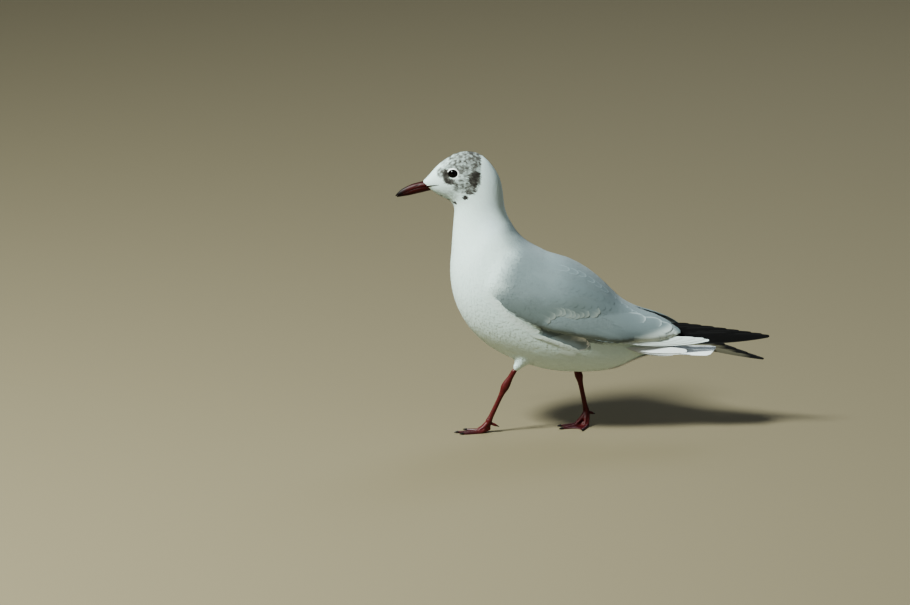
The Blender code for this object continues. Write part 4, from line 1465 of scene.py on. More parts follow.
@dataclass
class Eye:
    """An eyeball in its lids, with the white half-ring of feathers round them."""

    side: Side
    x: float = -134.9
    y: float = 10.9
    z: float = 274.8
    radius: float = 5.3
    iris: str = "#0C0705"
    pupil: str = "#050303"
    iris_edge: str = "#070404"
    white: str = "#F8F8F6"
    rim: str = "#0E0B0A"
    pupil_edge: Pair = (2.5, 2.8)
    iris_end: Pair = (3.8, 4.4)
    tilt: Pair = (-0.10, 0.06)
    opening: float = 4.1
    rim_width: float = 0.5
    lid_rings: tuple[float, ...] = (7.6, 7.0, 6.5, 6.0, 5.5, 5.1, 4.8, 4.55)
    lid_tuck: float = 0.8
    lid_reach: float = 7.0
    rim_lift: float = 0.32
    rim_slope: float = 0.35
    rim_band: Pair = (0.2, -0.5)
    stretch: Triple = (1.08, 0.94, 1.0)
    ring_ends: Pair = (-95.0, 160.0)
    ring_count: int = 84
    ring_rows: tuple[float, ...] = (4.65, 4.95, 5.25)
    ring_width: float = 0.72
    ring_fade: float = 6.0
    ring_heights: Pair = (0.06, 0.28)
    ring_lengths: Pair = (0.75, 0.95)
    ring_sweep: Triple = (0.45, -0.1, 0)

    @property
    def centre(self) -> Array:
        """The eyeball's centre."""
        return np.array([self.x, self.side.value * self.y, self.z])

    def axes(self) -> Array:
        """Rows: towards the tail, up, and out along the line of sight."""
        out = unit(np.array([self.tilt[0], self.side.value, self.tilt[1]]))
        back = unit(np.array([1.0, 0, 0]) - out * out[0])
        up = np.cross(out, back) * -self.side.value
        return np.stack([back, up, out])

    def placed(self, points: Array) -> Array:
        """Points in the eye's own axes, moved to their place on the head."""
        return self.centre + points @ self.axes()

    def facing(self, triangles: Array) -> Array:
        """Triangles wound to face out on this side."""
        return triangles if self.side is Side.RIGHT else triangles[:, ::-1]

    def ball(self) -> None:
        """The eyeball: a dark brown iris round a black pupil."""
        line = [
            (self.radius * math.sin(a), self.radius * math.cos(a))
            for a in np.radians(np.linspace(178, 0.5, 40))
        ]
        points, triangles = lathe(line, 48)
        form = self.placed(points), self.facing(triangles[:, ::-1])
        reach = length(points[:, :2])
        shade = plain(self.iris, len(points))
        shade = blend(shade, self.pupil, 1 - smoothstep(*self.pupil_edge, reach))
        shade = blend(shade, self.iris_edge, smoothstep(*self.iris_end, reach))
        mesh = tinted_mesh(f"eye_{self.side.word}", form, shade)
        ball = add_piece(f"eyeball_{self.side.word}", mesh, EYE_FILM)
        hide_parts(f"eye_{self.side.word}")

    def skin_height(self, angles: Array, reach: float, skin: Surface) -> Array:
        """How far out the skin is at places round the eye."""
        flat = circle(angles) * reach
        flat = flat * np.array(self.stretch) + np.array([0, 0, 14.0])
        out = self.axes()[2]
        places, _ = skin.cast(self.placed(flat), -out)
        return (places - self.centre) @ out

    def lid_height(self, angles: Array, reach: float, skin: Surface) -> Array:
        """How far out the lid is: on the eyeball at the rim, and on the skin outside."""
        inner = self.opening + self.rim_width
        share = smoothstep(inner, self.lid_reach, np.full(len(angles), reach))
        at_rim = math.sqrt(self.radius**2 - self.opening**2) + self.rim_lift
        slope = at_rim - self.rim_slope * max(0.0, reach - inner)
        return slope * (1 - share) + (self.skin_height(angles, self.lid_reach, skin) + 0.05) * share

    def ring_colours(self, points: Array, angles: Array, markings: Markings) -> Array:
        """White, but for the front quarter, which is as the face is there."""
        degrees = np.degrees(angles)
        comes, goes = ((end - self.ring_fade, end + self.ring_fade) for end in self.ring_ends)
        pale = window(degrees, comes, goes)
        return blend(markings.colours(points), self.white, pale)

    def lids(self, skin: Surface, markings: Markings) -> None:
        """The lids: thin skin from the eyeball out to the face, dark at the rim."""
        angles = np.arange(72) * math.tau / 72 - math.pi
        rim = math.sqrt(self.radius**2 - self.opening**2)
        reaches = np.array([*self.lid_rings, self.opening, self.opening - 0.02])
        heights = [self.lid_height(angles, reach, skin) for reach in reaches]
        heights[0] -= self.lid_tuck
        heights[-2:] = [0 * angles + rim + band for band in self.rim_band]
        points = circle(angles) * reaches[:, None, None] * np.array(self.stretch)
        points[..., 2] = heights
        places = self.placed(points.reshape(-1, 3))
        triangles = tube_triangles(len(reaches), len(angles), False)
        outside = smoothstep(self.ring_rows[0] - 0.1, self.ring_rows[0] + 0.3, reaches)
        face = smoothstep(self.ring_rows[-1] + 0.2, self.ring_rows[-1] + 0.7, reaches)
        colours = self.ring_colours(places, np.tile(angles, len(reaches)), markings)
        colours += (markings.colours(places) - colours) * np.repeat(face, len(angles))[:, None]
        colours = blend(colours, self.rim, 1 - np.repeat(outside, len(angles)))
        mesh = tinted_mesh(f"lid_{self.side.word}", (places, self.facing(triangles)), colours)
        add_piece(f"eyelid_{self.side.word}", mesh, LID_SKIN)

    def ring(self, skin: Surface, markings: Markings) -> None:
        """Short feathers side by side round the rim: white but for the front quarter."""
        rng = np.random.default_rng(5)
        turns = (np.arange(self.ring_count) + 0.5) * math.tau / self.ring_count - math.pi
        rows, roots, ways, outs, angles = np.array(SMALL_VANE.rows), [], [], [], []
        for reach in self.ring_rows:
            angle = turns + rng.normal(0, 0.02, len(turns))
            flat = circle(angle)
            place = flat * reach * np.array(self.stretch)
            place[:, 2] = self.lid_height(angle, reach, skin) + self.ring_heights[0]
            ahead = flat * (reach + 1.0) * np.array(self.stretch)
            ahead[:, 2] = self.lid_height(angle, reach + 1.0, skin) + self.ring_heights[1]
            way = unit(ahead - place)
            out = unit(np.array([0, 0, 1.0]) - way * way[:, 2:3])
            roots.append(self.placed(place))
            ways.append((way + np.array(self.ring_sweep)) @ self.axes())
            outs.append(out @ self.axes())
            angles.append(angle)
        root, way, out, angle = (np.concatenate(v) for v in (roots, ways, outs, angles))
        way, count = unit(way), len(root)
        out = unit(out - way * dot(out, way))
        lengths = rng.uniform(*self.ring_lengths, count)
        aside = np.array(SMALL_VANE.columns) * self.ring_width / 2
        spots = root[:, None, None] + (way[:, None] * (lengths[:, None] * rows)[..., None])[:, :, None]
        spots = spots + np.cross(out, way)[:, None, None] * aside[:, None]
        spots[:, -1, [0, -1]] -= way[:, None] * 0.25
        feathers = Feathers(
            SMALL_VANE, root, spots, np.broadcast_to(out[:, None, None], spots.shape),
            lengths, np.full(count, self.ring_width), 0.05, 0.5,
        )
        colour = self.ring_colours(root, angle, markings)
        places = np.stack([angle / math.tau * 0.9 + 0.5, 0.2 + 0.1 * (root @ self.axes()[1] % 5)], 1)
        mesh = feathers.mesh(f"eye_ring_{self.side.word}", lambda a, b, n: colour[n], places, 0.003)
        add_piece(f"eye_ring_{self.side.word}", mesh, SOFT_FEATHER)

    def build(self, skin: Surface, markings: Markings) -> None:
        """Makes the whole eye."""
        self.ball()
        self.lids(skin, markings)
        self.ring(skin, markings)


# Wings and tail


@dataclass(frozen=True)
class Row:
    """A row of overlapping feathers on the side of the bird.

    Attributes:
        roots: (x, z) places along the line of roots, first to last.
        tips: (x, z) places along the line of tips.
        width: A feather's greatest width.
        base: How far the roots stand off the skin.
        rise: How much further off the tips are.
        colour: The vane's colour, or None for the markings' own.
        edge: The colour of its margin, or None for the vane's own.
        margin: How wide the margin is, as a share of the half-width.
        uneven: Spread of the lengths, as a share.
    """

    name: str
    roots: Line
    tips: Line
    count: int
    width: float
    base: float
    rise: float
    colour: str | None = None
    edge: str | None = None
    margin: float = 0.12
    uneven: float = 0.03
    slot: str = "grey_plumage"


WING_ROWS = (
    Row(
        "greater_coverts",
        ((-64, 134), (-54, 131), (-42, 129), (-28, 126), (-14, 124), (0, 122), (12, 122), (22, 124)),
        ((-30, 114.5), (-18, 111), (-4, 106.5), (12, 102.5), (28, 101.5), (42, 103), (54, 105), (62, 108)),
        15, 10.0, 0.08, 0.36,
    ),
    # Grey feathers hanging under the wing's lower edge: their grey is partly the coverts' own and partly
    # painted shade for the shaded flank there.
    Row(
        "wing_veil_painted_shade", ((-35, 107), (-33, 105)), ((6.0, 99.4), (7.2, 97.6)),
        2, 16.0, 0.62, 0.3, "#8A9598", "#FFFFFF", 0.07,
    ),
    Row(
        "flank_plumes",
        ((-57, 111), (-45, 106.5), (-33, 101.5), (-25, 97), (-27, 91)),
        ((-40, 107), (-27, 102), (-15, 97), (-7, 92.5), (-9, 87)),
        46, 4.4, 0.6, 0.85, "#E6F2EE", uneven=0.2, slot="white_plumage",
    ),
    Row(
        "lesser_coverts", ((-82, 151), (-74, 143), (-65, 136), (-56, 134)),
        ((-60, 138), (-52, 128), (-43, 121.5), (-37, 122.5)), 7, 10.0, 0.10, 0.32,
    ),
    Row(
        "median_coverts",
        ((-55, 137), (-45, 143), (-34, 142), (-24, 139), (-14, 140), (-4, 142)),
        ((-34, 124.5), (-22, 133), (-12, 131), (-2, 128), (8, 129.5), (18, 132)),
        11, 10.0, 0.12, 0.38, None, "#9CA49F", 0.26, 0.16,
    ),
    Row(
        "tertials", ((52, 103), (46, 108.5), (38, 114), (30, 120), (19, 128)),
        ((99, 104), (104, 108.5), (94, 112.5), (81, 117.5), (64, 122)),
        5, 16.0, 0.4, 0.6, None, "#B9C3C4", 0.08,
    ),
    Row(
        "lower_scapulars",
        ((-62, 164), (-52, 159), (-41, 154.5), (-29, 152), (-17, 150.5), (-5, 148), (6, 145), (16, 140)),
        ((-30, 151), (-20, 146), (-9, 142), (3, 139.5), (15, 138), (27, 136), (38, 133), (48, 127)),
        13, 12.5, 0.08, 0.38,
    ),
    Row(
        "middle_scapulars",
        ((-62, 179), (-48, 174), (-35, 169), (-22, 163.5), (-10, 158), (1, 152)),
        ((-30, 166), (-16, 161), (-3, 156), (10, 150.5), (22, 145), (33, 139)),
        11, 12.0, 0.08, 0.38,
    ),
    Row(
        "upper_scapulars",
        ((-54, 188), (-38, 183), (-24, 178), (-8, 171), (4, 163.5), (14, 154), (24, 143)),
        ((-14, 174.5), (3, 167.5), (18, 156.5), (31, 145.5), (43, 135), (54, 128), (63, 123)),
        12, 8.5, 0.03, 0.44, None, "#9CA8AC", 0.08,
    ),
    Row(
        "breast_side", ((-100, 148.5), (-89, 133.5), (-71, 120), (-56, 110.5)),
        ((-88, 146), (-78, 134.5), (-60, 122.5), (-45, 115)),
        44, 4.0, 0.25, 0.6, "#E8F5F2", uneven=0.2, slot="white_plumage",
    ),
)


@dataclass(frozen=True)
class Quills:
    """A bundle of closed flight feathers, from its outermost feather to its innermost.

    Attributes:
        node: The CAD node that the feathers are laid on, without its side.
        roots: (x, z) of the outermost and the innermost root.
        tips: (x, z) of each tip.
        bow: How far the shafts sag below a straight line.
        width: A feather's greatest width.
        base: How far the lowest feather stands off the solid.
        step: How much further each next one stands off.
        tilt: How much the outer sides are turned upwards.
        underside_and_bounce: The colour of the underside nearer to the root, or None for the vane's own;
            here a dark grey warmed by painted reflected light from the sand-coloured floor.
        underside_and_bounce_to: Where that part ends, as a share of the length.
    """

    node: str
    roots: tuple[Pair, Pair]
    tips: Line
    bow: float
    width: float
    base: float
    step: float
    colour: str
    edge: str
    slot: str
    tilt: float = 0.0
    underside_and_bounce: str | None = None
    underside_and_bounce_to: float = 0.8


PRIMARY_QUILLS = {
    Side.LEFT: Quills(
        "primaries", ((56, 99.0), (56, 110.0)),
        (
            (194.3, 100.9), (187.0, 102.4), (175.5, 104.3), (163, 106.2), (150, 108.2),
            (137, 110.0), (124, 111.9), (112, 113.4),
        ),
        1.5, 10.8, -0.9, 0.26, "#121114", "#2B2A2C", "black_plumage",
    ),
    # The far wing's primaries show their underside in a warm grey-tan: dark grey with painted reflected
    # light from the floor.
    Side.RIGHT: Quills(
        "primaries", ((56, 99.0), (56, 107.0)),
        (
            (189.8, 71.3), (183, 73.6), (173, 77.4), (161, 81.8), (149, 86.6),
            (137, 91.2), (125, 95.8), (113, 100.2),
        ),
        -0.4, 7.6, -0.9, 0.26, "#121114", "#2B2A2C", "black_plumage", 0.0, "#757162", 0.86,
    ),
}
SECONDARY_QUILLS = Quills(
    "secondaries", ((36, 100.2), (40, 104.2)),
    ((131.3, 98.0), (126, 99.6), (116, 100.8), (103, 101.8), (88, 102.6)),
    1.6, 7.6, 0.2, 0.24, "#F0F9F6", "#F6FCFA", "pale_plumage", 0.45,
)


@dataclass
class Wing:
    """One folded wing: rows of coverts, scapulars and tertials over flight feathers."""

    side: Side
    lie: LieOfCoat
    markings: Markings
    skin: Surface

    def row(self, row: Row, rng: Chance) -> bpy.types.Mesh:
        """One row of coverts, scapulars or tertials."""
        share = np.linspace(0, 1, row.count)
        root, normal = self.skin.from_side(*resample(row.roots, share).T, self.side)
        tip, _ = self.skin.from_side(*resample(row.tips, share).T, self.side)
        lengths = length(tip - root)
        lengths = lengths * rng.uniform(1 - row.uneven, 1 + row.uneven, row.count)
        way = unit(tip - root)
        way = unit(way - normal * dot(way, normal))
        widths = np.full(row.count, row.width)
        lay = Lay(row.base, row.rise, 0.05, 0.01, 0.7, 0.68, 0.6, 0.12, 0.9)
        feathers = lay.drape(
            self.skin, COVERT_VANE, root, way, lengths, widths, np.ones(row.count), rng
        )
        corners = feathers.points()
        spots = corners.reshape(-1, 3).copy()
        hang = level(spots[:, 0], self.lie.wing_low)
        spots[:, 2] = np.maximum(spots[:, 2], hang + 2.0)
        inner = self.markings.colours(spots).reshape(corners.shape)
        if row.colour:
            inner = np.full(corners.shape, linear(row.colour))
        inner = inner * rng.uniform(0.97, 1.03, (row.count, 1, 1))
        outer = np.full(corners.shape, linear(row.edge)) if row.edge else inner

        def paint(along: Array, aside: Array, number: Array) -> Array:
            rim = smoothstep(1 - row.margin * 2.2, 1 - row.margin * 0.3, np.abs(aside))
            rim = np.maximum(rim * smoothstep(0.5, 0.95, along), smoothstep(1 - row.margin, 1, along))
            return inner + (outer - inner) * rim[..., None]

        return feathers.mesh(row.name, paint, self.lie.unwrapped(root), self.lie.patch)

    def quills(self, quills: Quills) -> bpy.types.Mesh:
        """A bundle of closed flight feathers over their solid."""
        name, steps = f"{quills.node}_{self.side.word}", QUILL_VANE.steps
        surface, count = Surface(*solid_arrays([name])), len(quills.tips)
        roots = resample(quills.roots, np.linspace(0, 1, count))
        tips = np.array(quills.tips, dtype=float)
        line = roots[:, None] + (tips - roots)[:, None] * steps[:, None]
        line[..., 1] -= quills.bow * np.sin(math.pi * steps)
        x, z = line.reshape(-1, 2).T
        places, _ = surface.from_side(x, z, self.side)
        out = np.stack([x, places[:, 1], z], axis=1)
        out = out.reshape(count, len(steps), 3)
        smooth = np.polynomial.polynomial.polyvander(steps, 2)
        weights = smooth @ np.linalg.pinv(smooth)
        out[..., 1] = out[..., 1] @ weights.T
        sign = self.side.value
        layer = quills.base + quills.step * np.arange(count)
        out[..., 1] += sign * layer[:, None]
        normal = np.array([0.0, sign, quills.tilt])
        feathers = straight(out[:, 0], out[:, 1:], normal, np.full(count, quills.width))
        under = np.arange(QUILL_VANE.corners) > len(QUILL_VANE.rows) * len(QUILL_VANE.columns)

        def paint(along: Array, aside: Array, number: Array) -> Array:
            colour = rimmed(quills.colour, quills.edge, aside)
            # Painted reflection: the underside near the root is warm grey-tan, as sand-coloured bounce
            # light would make it.
            if quills.underside_and_bounce:
                near = 1 - smoothstep(quills.underside_and_bounce_to - 0.05, quills.underside_and_bounce_to + 0.03, along)
                near = near * np.maximum(under, 0.7 * (np.abs(aside) == 1))
                colour = blend(colour, quills.underside_and_bounce, near)
            return colour

        return feathers.mesh(f"{name}_vanes", paint, *strips(count))

    def build(self) -> None:
        """Makes the whole wing."""
        rng = np.random.default_rng(23)
        word = self.side.word
        for row in WING_ROWS:
            add_piece(f"{row.name}_{word}", self.row(row, rng), STIFF_FEATHER)
        for quills in (SECONDARY_QUILLS, PRIMARY_QUILLS[self.side]):
            name = f"{quills.node}_{word}"
            vanes = add_piece(f"{name}_vanes", self.quills(quills), STIFF_FEATHER)
            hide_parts(name)


def straight(roots: Array, shafts: Array, normal: Array, widths: Array, tip: float = 0.28) -> Feathers:
    """Long stiff feathers along given shafts.

    Args:
        roots: Where each starts, (n, 3).
        shafts: The shaft at each row of a quill's pattern, (n, rows, 3).
        normal: Which way the upper side faces, for all or for each.
        widths: Each feather's greatest width, (n,).
        tip: How wide the tip is, as a share.

    Returns:
        The feathers.
    """
    columns = np.array(QUILL_VANE.columns)
    ahead = unit(np.diff(np.concatenate([roots[:, None], shafts], axis=1), axis=1))
    normals = np.broadcast_to(normal, shafts.shape)
    normals = unit(normals - ahead * dot(ahead, normals))
    across = np.cross(normals, ahead)
    half = widths[:, None] / 2 * profile(QUILL_VANE.rows, 0.5, tip)
    aside = half[..., None] * columns
    grid = shafts[:, :, None] + across[:, :, None] * aside[..., None]
    grid = grid - normals[:, :, None] * (0.05 * half[..., None] * columns**2)[..., None]
    back = half[:, -1:, None] * columns**2 * np.array(QUILL_VANE.rows)[:, None] ** 24
    grid = grid - ahead[:, :, None] * back[..., None]
    upper = np.broadcast_to(normals[:, :, None], grid.shape)
    lengths = length(shafts[:, -1] - roots)
    return Feathers(QUILL_VANE, roots, grid, upper, lengths, widths, 0.35, 0.2)


def rimmed(inner: str, edge: str, aside: Array) -> Array:
    """A stiff vane's colours, with another colour along both its margins."""
    plain_vane = np.full((*aside.shape, 3), linear(inner))
    return blend(plain_vane, edge, smoothstep(0.86, 1.0, np.abs(aside)))


def strips(count: int) -> tuple[Array, Array]:
    """Places and size on the map of a strip for each of a few long feathers."""
    rows = (np.arange(count) + 0.5) / count
    return np.stack([np.full(count, 0.5), rows], axis=1), np.array([0.96, 0.9 / count])


def resample(places: Sequence[Pair], share: Array) -> Array:
    """Points at shares of the way along a row of places."""
    known = np.linspace(0, 1, len(places))
    table = np.array(places, dtype=float)
    return np.stack([np.interp(share, known, table[:, k]) for k in range(2)], axis=1)


@dataclass
class Tail:
    """Twelve closed tail feathers, the middle pair on top."""

    pairs: int = 6
    root: Triple = (66.0, 1.0, 88.6)
    tip: Triple = (139.2, 2.6, 87.0)
    root_step: Triple = (0.0, 1.0, -0.28)
    tip_step: Triple = (-1.2, 3.1, -0.50)
    overlap: float = 0.12
    curve: float = 0.012
    width: float = 13.5
    colour: str = "#EEF0F0"
    edge: str = "#F8F8F7"

    def build(self) -> None:
        """Makes the tail."""
        pair, sign = np.repeat(np.arange(self.pairs), 2), np.tile([-1, 1], self.pairs)
        mirror = np.stack([sign**2, sign, sign**2], axis=1)
        lift = np.outer(sign > 0, (0, 0, self.overlap))
        roots, tips = (
            (np.array(first) + np.outer(pair, step)) * mirror + lift
            for first, step in ((self.root, self.root_step), (self.tip, self.tip_step))
        )
        centres = roots[:, None] + (tips - roots)[:, None] * np.array(QUILL_VANE.rows)[:, None]
        lean = np.stack([0 * pair, tips[:, 1] * self.curve, 1 + 0 * pair], axis=1)
        feathers = straight(roots, centres, lean[:, None], np.full(len(pair), self.width), 0.6)
        mesh = feathers.mesh(
            "tail_vanes", lambda a, b, n: rimmed(self.colour, self.edge, b), *strips(len(pair))
        )
        vanes = add_piece("tail_vanes", mesh, STIFF_FEATHER)
        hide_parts("tail")


@dataclass
class TailCoverts:
    """The long white feathers over and under the tail's base.

    Attributes:
        skin: The feathered skin.
        under_tiers: For each tier below, where its roots and tips are along the bird,
            how many feathers it has and how far out to the side they reach.
        over_tiers: The same above.
        under: The tail's underside, as (x, z) places.
        over: Its upper side.
        sides: (x, z) of the root and the tip of each feather along the side.
        side_tip: How far out those tips are.
        side_lifts: How far off the tail they start, what is soon added to that, and
            how much more each next one stands off.
        lifts: The same below and above, with the middle one added along the length.
        body_end: Where the feathers leave the body for the tail.
        sweep: How much shorter they get outwards, for each square millimetre.
        gather: How much nearer to the middle the tips are than the roots.
        droop: How much the outer ones lean.
    """

    skin: Surface
    under_tiers: tuple[tuple[float, float, int, float], ...] = (
        (44.0, 104.0, 9, 12.5), (34.0, 82.0, 11, 13.0), (22.0, 66.0, 11, 13.5),
    )
    over_tiers: tuple[tuple[float, float, int, float], ...] = (
        (62.0, 94.0, 9, 11.5), (58.0, 82.0, 9, 11.5),
    )
    under: Line = ((56, 76), (66, 80.2), (78, 83.4), (104, 84.4))
    over: Line = ((56, 97), (66, 94.0), (78, 91.0), (104, 89.6))
    sides: tuple[tuple[float, float, float, float], ...] = (
        (44.0, 91.8, 108.0, 88.8), (47.0, 90.0, 103.0, 87.4), (52.0, 88.2, 96.0, 86.4),
    )
    side_tip: float = 22.0
    side_lifts: Triple = (0.35, 1.3, 0.3)
    lifts: Triple = (0.15, 0.25, 0.12)
    body_end: Pair = (56.0, 70.0)
    sweep: float = 0.035
    gather: float = 0.25
    droop: float = 0.03
    width: float = 7.5
    colour: str = "#EFF1F0"

    def layer(self, name: str, under: bool) -> None:
        """Lays the feathers on the underside or the upper side."""
        sign = -1.0 if under else 1.0
        line = self.under if under else self.over
        tiers = self.under_tiers if under else self.over_tiers
        steps = QUILL_VANE.steps
        roots, shafts, outs = [], [], []
        for tier, (start, end, count, reach) in enumerate(tiers):
            y = np.linspace(-reach, reach, count)[:, None]
            last = end - self.sweep * y**2
            x = start + (last - start) * steps
            inwards = y * (1.0 - self.gather * steps)
            spots = np.stack([x, inwards, np.full_like(x, sign * FAR_OUTSIDE)], axis=-1)
            places, _ = self.skin.cast(spots.reshape(-1, 3), (0, 0, -sign))
            body = places[:, 2].reshape(x.shape)
            tail = level(x, line) + np.abs(y) * self.droop
            share = smoothstep(*self.body_end, x) if under else np.ones_like(x)
            lift = sign * (self.lifts[0] + self.lifts[1] * steps + self.lifts[2] * tier)
            spots[..., 2] = body * (1 - share) + tail * share + lift
            roots.append(spots[:, 0])
            shafts.append(spots[:, 1:])
            lean = np.stack([0 * y, y * self.droop, sign + 0 * y], axis=-1)
            outs.append(unit(lean))
        self.add(name, np.concatenate(roots), np.concatenate(shafts), np.concatenate(outs))

    def edges(self, side: Side) -> None:
        """Lays the narrow feathers along one side of the tail's base."""
        steps = QUILL_VANE.steps
        table = np.array(self.sides)
        x = table[:, :1] + (table[:, 2:3] - table[:, :1]) * steps
        z = table[:, 1:2] + (table[:, 3:] - table[:, 1:2]) * steps
        places, _ = self.skin.from_side(table[:, 0], table[:, 1], side)
        y = places[:, 1:2] + (side.value * self.side_tip - places[:, 1:2]) * steps
        start, more, each = self.side_lifts
        off = start + more * smoothstep(0, 0.15, steps) + each * np.arange(len(table))[:, None]
        y = y + side.value * off
        spots = np.stack([x, y, z], axis=-1)
        outs = np.full((len(table), 1, 3), (0.0, side.value, 0.65))
        self.add(f"tail_side_coverts_{side.word}", spots[:, 0], spots[:, 1:], outs)

    def add(self, name: str, root: Array, shafts: Array, outs: Array) -> None:
        """Makes a piece of some feathers with given shafts."""
        feathers = straight(root, shafts, outs, np.full(len(root), self.width), 0.5)
        colour = np.array(linear(self.colour))
        places = np.stack([root[:, 0] / 200 + 0.2, root[:, 1] / 60 + 0.5], axis=1)
        mesh = feathers.mesh(name, lambda a, b, n: colour * np.ones_like(a)[..., None], places, 0.003)
        add_piece(name, mesh, SOFT_FEATHER)

    def build(self) -> None:
        """Lays both sides."""
        self.layer("under_tail_coverts", True)
        self.layer("upper_tail_coverts", False)
        for side in Side:
            self.edges(side)


# Bill and claws


@dataclass
class Bill:
    """A slim pointed bill: dark red horn, blackish towards the tip and the cutting edges.

    Each section is under x and z, upper x and z, and the half-width.
    """

    upper: Table = (
        (-156.5, 260.9, -163.4, 264.4, 5.15), (-162.6, 259.5, -168.2, 263.6, 4.85),
        (-169.5, 258.1, -172.0, 262.7, 4.1),
        (-175.5, 256.3, -177.2, 261.2, 3.6), (-181.5, 253.9, -182.4, 258.9, 3.0),
        (-187.0, 251.5, -187.8, 255.9, 2.4), (-191.2, 249.8, -191.9, 252.6, 1.6),
        (-194.6, 248.2, -194.9, 249.0, 0.3),
    )
    lower: Table = (
        (-154.6, 255.6, -158.6, 260.5, 4.6), (-158.4, 254.7, -162.9, 259.3, 4.4),
        (-165.5, 252.9, -169.3, 258.0, 3.9), (-173.0, 251.1, -175.3, 256.3, 3.4),
        (-180.5, 249.3, -181.4, 253.9, 2.8), (-186.5, 248.3, -187.0, 251.5, 2.1),
        (-191.0, 247.6, -191.4, 249.6, 1.2), (-193.2, 247.3, -193.4, 248.3, 0.3),
    )
    red: str = "#3E0D0C"
    dark: str = "#0D0607"
    turns: int = 40
    steps: int = 8
    nostril: Pair = (-172.5, 260.1)
    nostril_reach: Pair = (2.6, 0.42)
    nostril_depth: float = 0.28
    nostril_slope: float = 0.45
    tip_dark: Pair = (0.45, 0.9)
    edge_dark: Pair = (-0.9, -0.35)
    ridge_dark: Pair = (0.75, 1.0)
    edge_shade: float = 0.75
    ridge_shade: float = 0.6
    arch_power: float = 0.86
    mating_power: float = 0.3
    edge_height: float = 0.1
    gape_line: Line = ((-161.7, 259.5), (-149.4, 262.3))
    gape_sag: float = 0.3
    gape_lift: Pair = (-0.1, 0.08)
    gape_radii: Triple = (0.85, 0.45, 0.2)
    gape_steps: int = 14
    pinch: float = 0.22

    def mandible(self, name: str, sections: Sequence[Sequence[float]], top: bool) -> None:
        """One mandible, refined from its sections."""
        table = catmull(np.array(sections), self.steps)
        angles = np.arange(self.turns) * math.tau / self.turns
        c, s = np.cos(angles), np.sin(angles)
        rise = s if top else -s
        arch, flat = np.clip(rise, 0, 1), np.clip(-rise, 0, 1)
        width = np.where(rise >= 0, self.arch_power, self.mating_power)
        rounded_c = np.sign(c) * np.abs(c) ** width * (1 - self.pinch * arch**2)
        height = self.edge_height * (1 - flat) + (1 - self.edge_height) * arch**self.arch_power
        rounded_s = (2 * height - 1) * (1 if top else -1)
        under = np.stack([table[:, 0], 0 * table[:, 0], table[:, 1]], axis=1)
        upper = np.stack([table[:, 2], 0 * table[:, 0], table[:, 3]], axis=1)
        centre, half = (under + upper) / 2, (upper - under) / 2
        points = centre[:, None] + half[:, None] * rounded_s[:, None]
        points[..., 1] += table[:, 4][:, None] * rounded_c
        if top:
            x = (points[..., 0] - self.nostril[0]) / self.nostril_reach[0]
            z = points[..., 2] - self.nostril[1]
            z = z + self.nostril_slope * (self.nostril[0] - points[..., 0])
            slit = np.exp(-(x**4) - (z / self.nostril_reach[1]) ** 2)
            points[..., 1] -= np.sign(points[..., 1]) * slit * self.nostril_depth
        flat = points.reshape(-1, 3)
        share = np.repeat(np.linspace(0, 1, len(table)), self.turns)
        height = np.tile(s if top else -s, len(table))
        tip = smoothstep(*self.tip_dark, share + 0.06 * clouds(flat, 3.0, 7))
        edge = (1 - smoothstep(*self.edge_dark, height)) * self.edge_shade
        ridge = smoothstep(*self.ridge_dark, height) * self.ridge_shade
        colour = plain(self.red, len(flat))
        shade = np.clip(tip + edge + ridge, 0, 0.96)
        # Painted shade: the nostril slit is darkened, for the dark inside the opening.
        if top:
            shade = np.maximum(shade, slit.reshape(-1))
        form = flat, tube_triangles(len(table), self.turns, True)
        mesh = tinted_mesh(name, form, blend(colour, self.dark, shade))
        piece = add_piece(f"{name}_horn", mesh, BILL_HORN)
        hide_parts(name)

    def gape(self, side: Side, skin: Surface) -> None:
        """The dark corner of the mouth, from the bill back into the feathers."""
        share = np.linspace(0, 1, self.gape_steps)
        places = np.array(self.gape_line)
        x = np.interp(share, [0, 1], places[:, 0])
        z = np.interp(share, [0, 1], places[:, 1]) + self.gape_sag * np.sin(math.pi * share)
        spots, normals = skin.from_side(x, z, side)
        spots = spots + normals * np.interp(share, [0, 1], self.gape_lift)[:, None]
        ahead = unit(np.gradient(spots, axis=0))
        over = unit(np.cross(ahead, normals))
        angles = np.arange(12) * math.tau / 12
        radii = np.interp(share, [0, 0.55, 1], self.gape_radii)[:, None, None]
        ring = over[:, None] * np.cos(angles)[:, None] + normals[:, None] * np.sin(angles)[:, None]
        points = (spots[:, None] + ring * radii).reshape(-1, 3)
        name = f"gape_{side.word}"
        colours = blend(plain(self.red, len(points)), self.dark, 0.6 + 0.4 * np.repeat(share, 12))
        mesh = tinted_mesh(name, (points, tube_triangles(len(x), 12, True)), colours)
        add_piece(name, mesh, LID_SKIN)

    def build(self, skin: Surface) -> None:
        """Makes both mandibles and the corners of the mouth."""
        self.mandible("bill_upper", self.upper, True)
        self.mandible("bill_lower", self.lower, False)
        for side in Side:
            self.gape(side, skin)


@dataclass
class Claws:
    """The black claws, smoothed from their solids."""

    toes: tuple[str, ...] = ("inner", "middle", "outer", "hind")
    closing: float = 0.05
    voxel: float = 0.14
    colour: str = "#1A1312"

    def build(self) -> None:
        """Makes the claws of both feet."""
        for side in Side:
            for toe in self.toes:
                name = f"claw_{side.word}_{toe}"
                form = remeshed(*solid_arrays([name], self.closing), self.voxel, 3)
                mesh = tinted_mesh(name, form, plain(self.colour, len(form[0])))
                piece = add_piece(f"{name}_horn", mesh, CLAW_HORN)
                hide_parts(name)


# Studio


@dataclass(frozen=True)
class Lamp:
    """A soft square light: its place, its width, its power in watts and its colour."""

    name: str
    place: Triple
    size: float
    power: float
    colour: str


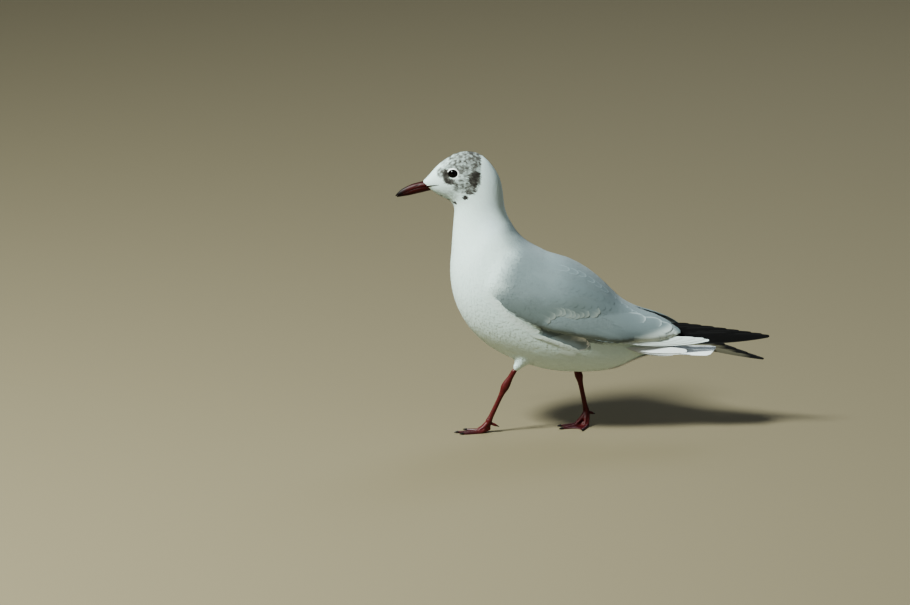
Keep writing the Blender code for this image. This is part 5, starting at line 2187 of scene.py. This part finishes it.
@dataclass
class Studio:
    """The camera, a pale floor and soft lights. Lengths here are in metres."""

    aim: Triple = (-0.1331, 0.0, 0.135)
    distance: float = 7.0
    elevation: float = 13.0
    lens: float = 266.0
    floor_colour: str = "#7E735B"
    floor_half: float = 60.0
    lit: Triple = (-0.05, 0, 0.13)
    lamps: tuple[Lamp, ...] = (
        Lamp("key", (-1.65, -1.15, 2.4), 0.6, 186.0, "#F4FFFB"),
        Lamp("fill", (1.9, -2.2, 1.6), 1.8, 3.0, "#E4EEFF"),
        Lamp("rim", (0.8, 2.4, 2.2), 1.2, 22.0, "#E4F2FF"),
    )
    air_colour: str = "#DCEBEE"
    air_strength: float = 0.15
    look: str = "AgX - Medium High Contrast"

    def camera(self) -> None:
        """A long lens from the bird's left, a little above it."""
        data = bpy.data.cameras.new("camera")
        data.lens, data.sensor_width, data.clip_end = self.lens, 36.0, 500.0
        camera = bpy.data.objects.new("camera", data)
        rise = math.radians(self.elevation)
        away = Vector((0, -math.cos(rise), math.sin(rise)))
        camera.location = Vector(self.aim) + away * self.distance
        camera.rotation_euler = (-away).to_track_quat("-Z", "Y").to_euler()
        bpy.context.scene.collection.objects.link(camera)
        bpy.context.scene.camera = camera

    def floor(self) -> None:
        """A wide matte floor."""
        half = self.floor_half
        corners = [(-half, -half, 0), (half, -half, 0), (half, half, 0), (-half, half, 0)]
        mesh = bpy.data.meshes.new("floor")
        mesh.from_pydata(corners, [], [(0, 1, 2, 3)])
        floor = bpy.data.objects.new("floor", mesh)
        material, _, shader = new_material("studio floor")
        set_inputs(shader, {"Base Color": (*linear(self.floor_colour), 1), "Roughness": 0.9})
        mesh.materials.append(material)
        bpy.context.scene.collection.objects.link(floor)

    def light(self, lamp: Lamp) -> None:
        """One soft square light, aimed at the bird."""
        data = bpy.data.lights.new(lamp.name, "AREA")
        data.size, data.energy, data.color = lamp.size, lamp.power, linear(lamp.colour)
        light = bpy.data.objects.new(lamp.name, data)
        light.location = lamp.place
        towards = Vector(self.lit) - Vector(lamp.place)
        light.rotation_euler = towards.to_track_quat("-Z", "Y").to_euler()
        bpy.context.scene.collection.objects.link(light)

    def build(self) -> None:
        """Sets up the whole studio."""
        self.camera()
        self.floor()
        for lamp in self.lamps:
            self.light(lamp)
        world = bpy.data.worlds.new("studio air")
        world.use_nodes = True
        air = {"Color": (*linear(self.air_colour), 1), "Strength": self.air_strength}
        set_inputs(world.node_tree.nodes["Background"], air)
        bpy.context.scene.view_settings.look = self.look
        bpy.context.scene.world = world


def main() -> None:
    """Builds the bird and its studio."""
    logging.basicConfig(level=logging.INFO, format="%(name)s: %(message)s")
    lie = LieOfCoat()
    markings = Markings(lie)
    skin = Skin(lie, markings).build()
    Coat(lie, markings, skin).build()
    for side in Side:
        Wing(side, lie, markings, skin).build()
        Eye(side).build(skin, markings)
    Tail().build()
    TailCoverts(skin).build()
    Bill().build(skin)
    Claws().build()
    Studio().build()


if __name__ == "__main__":
    main()
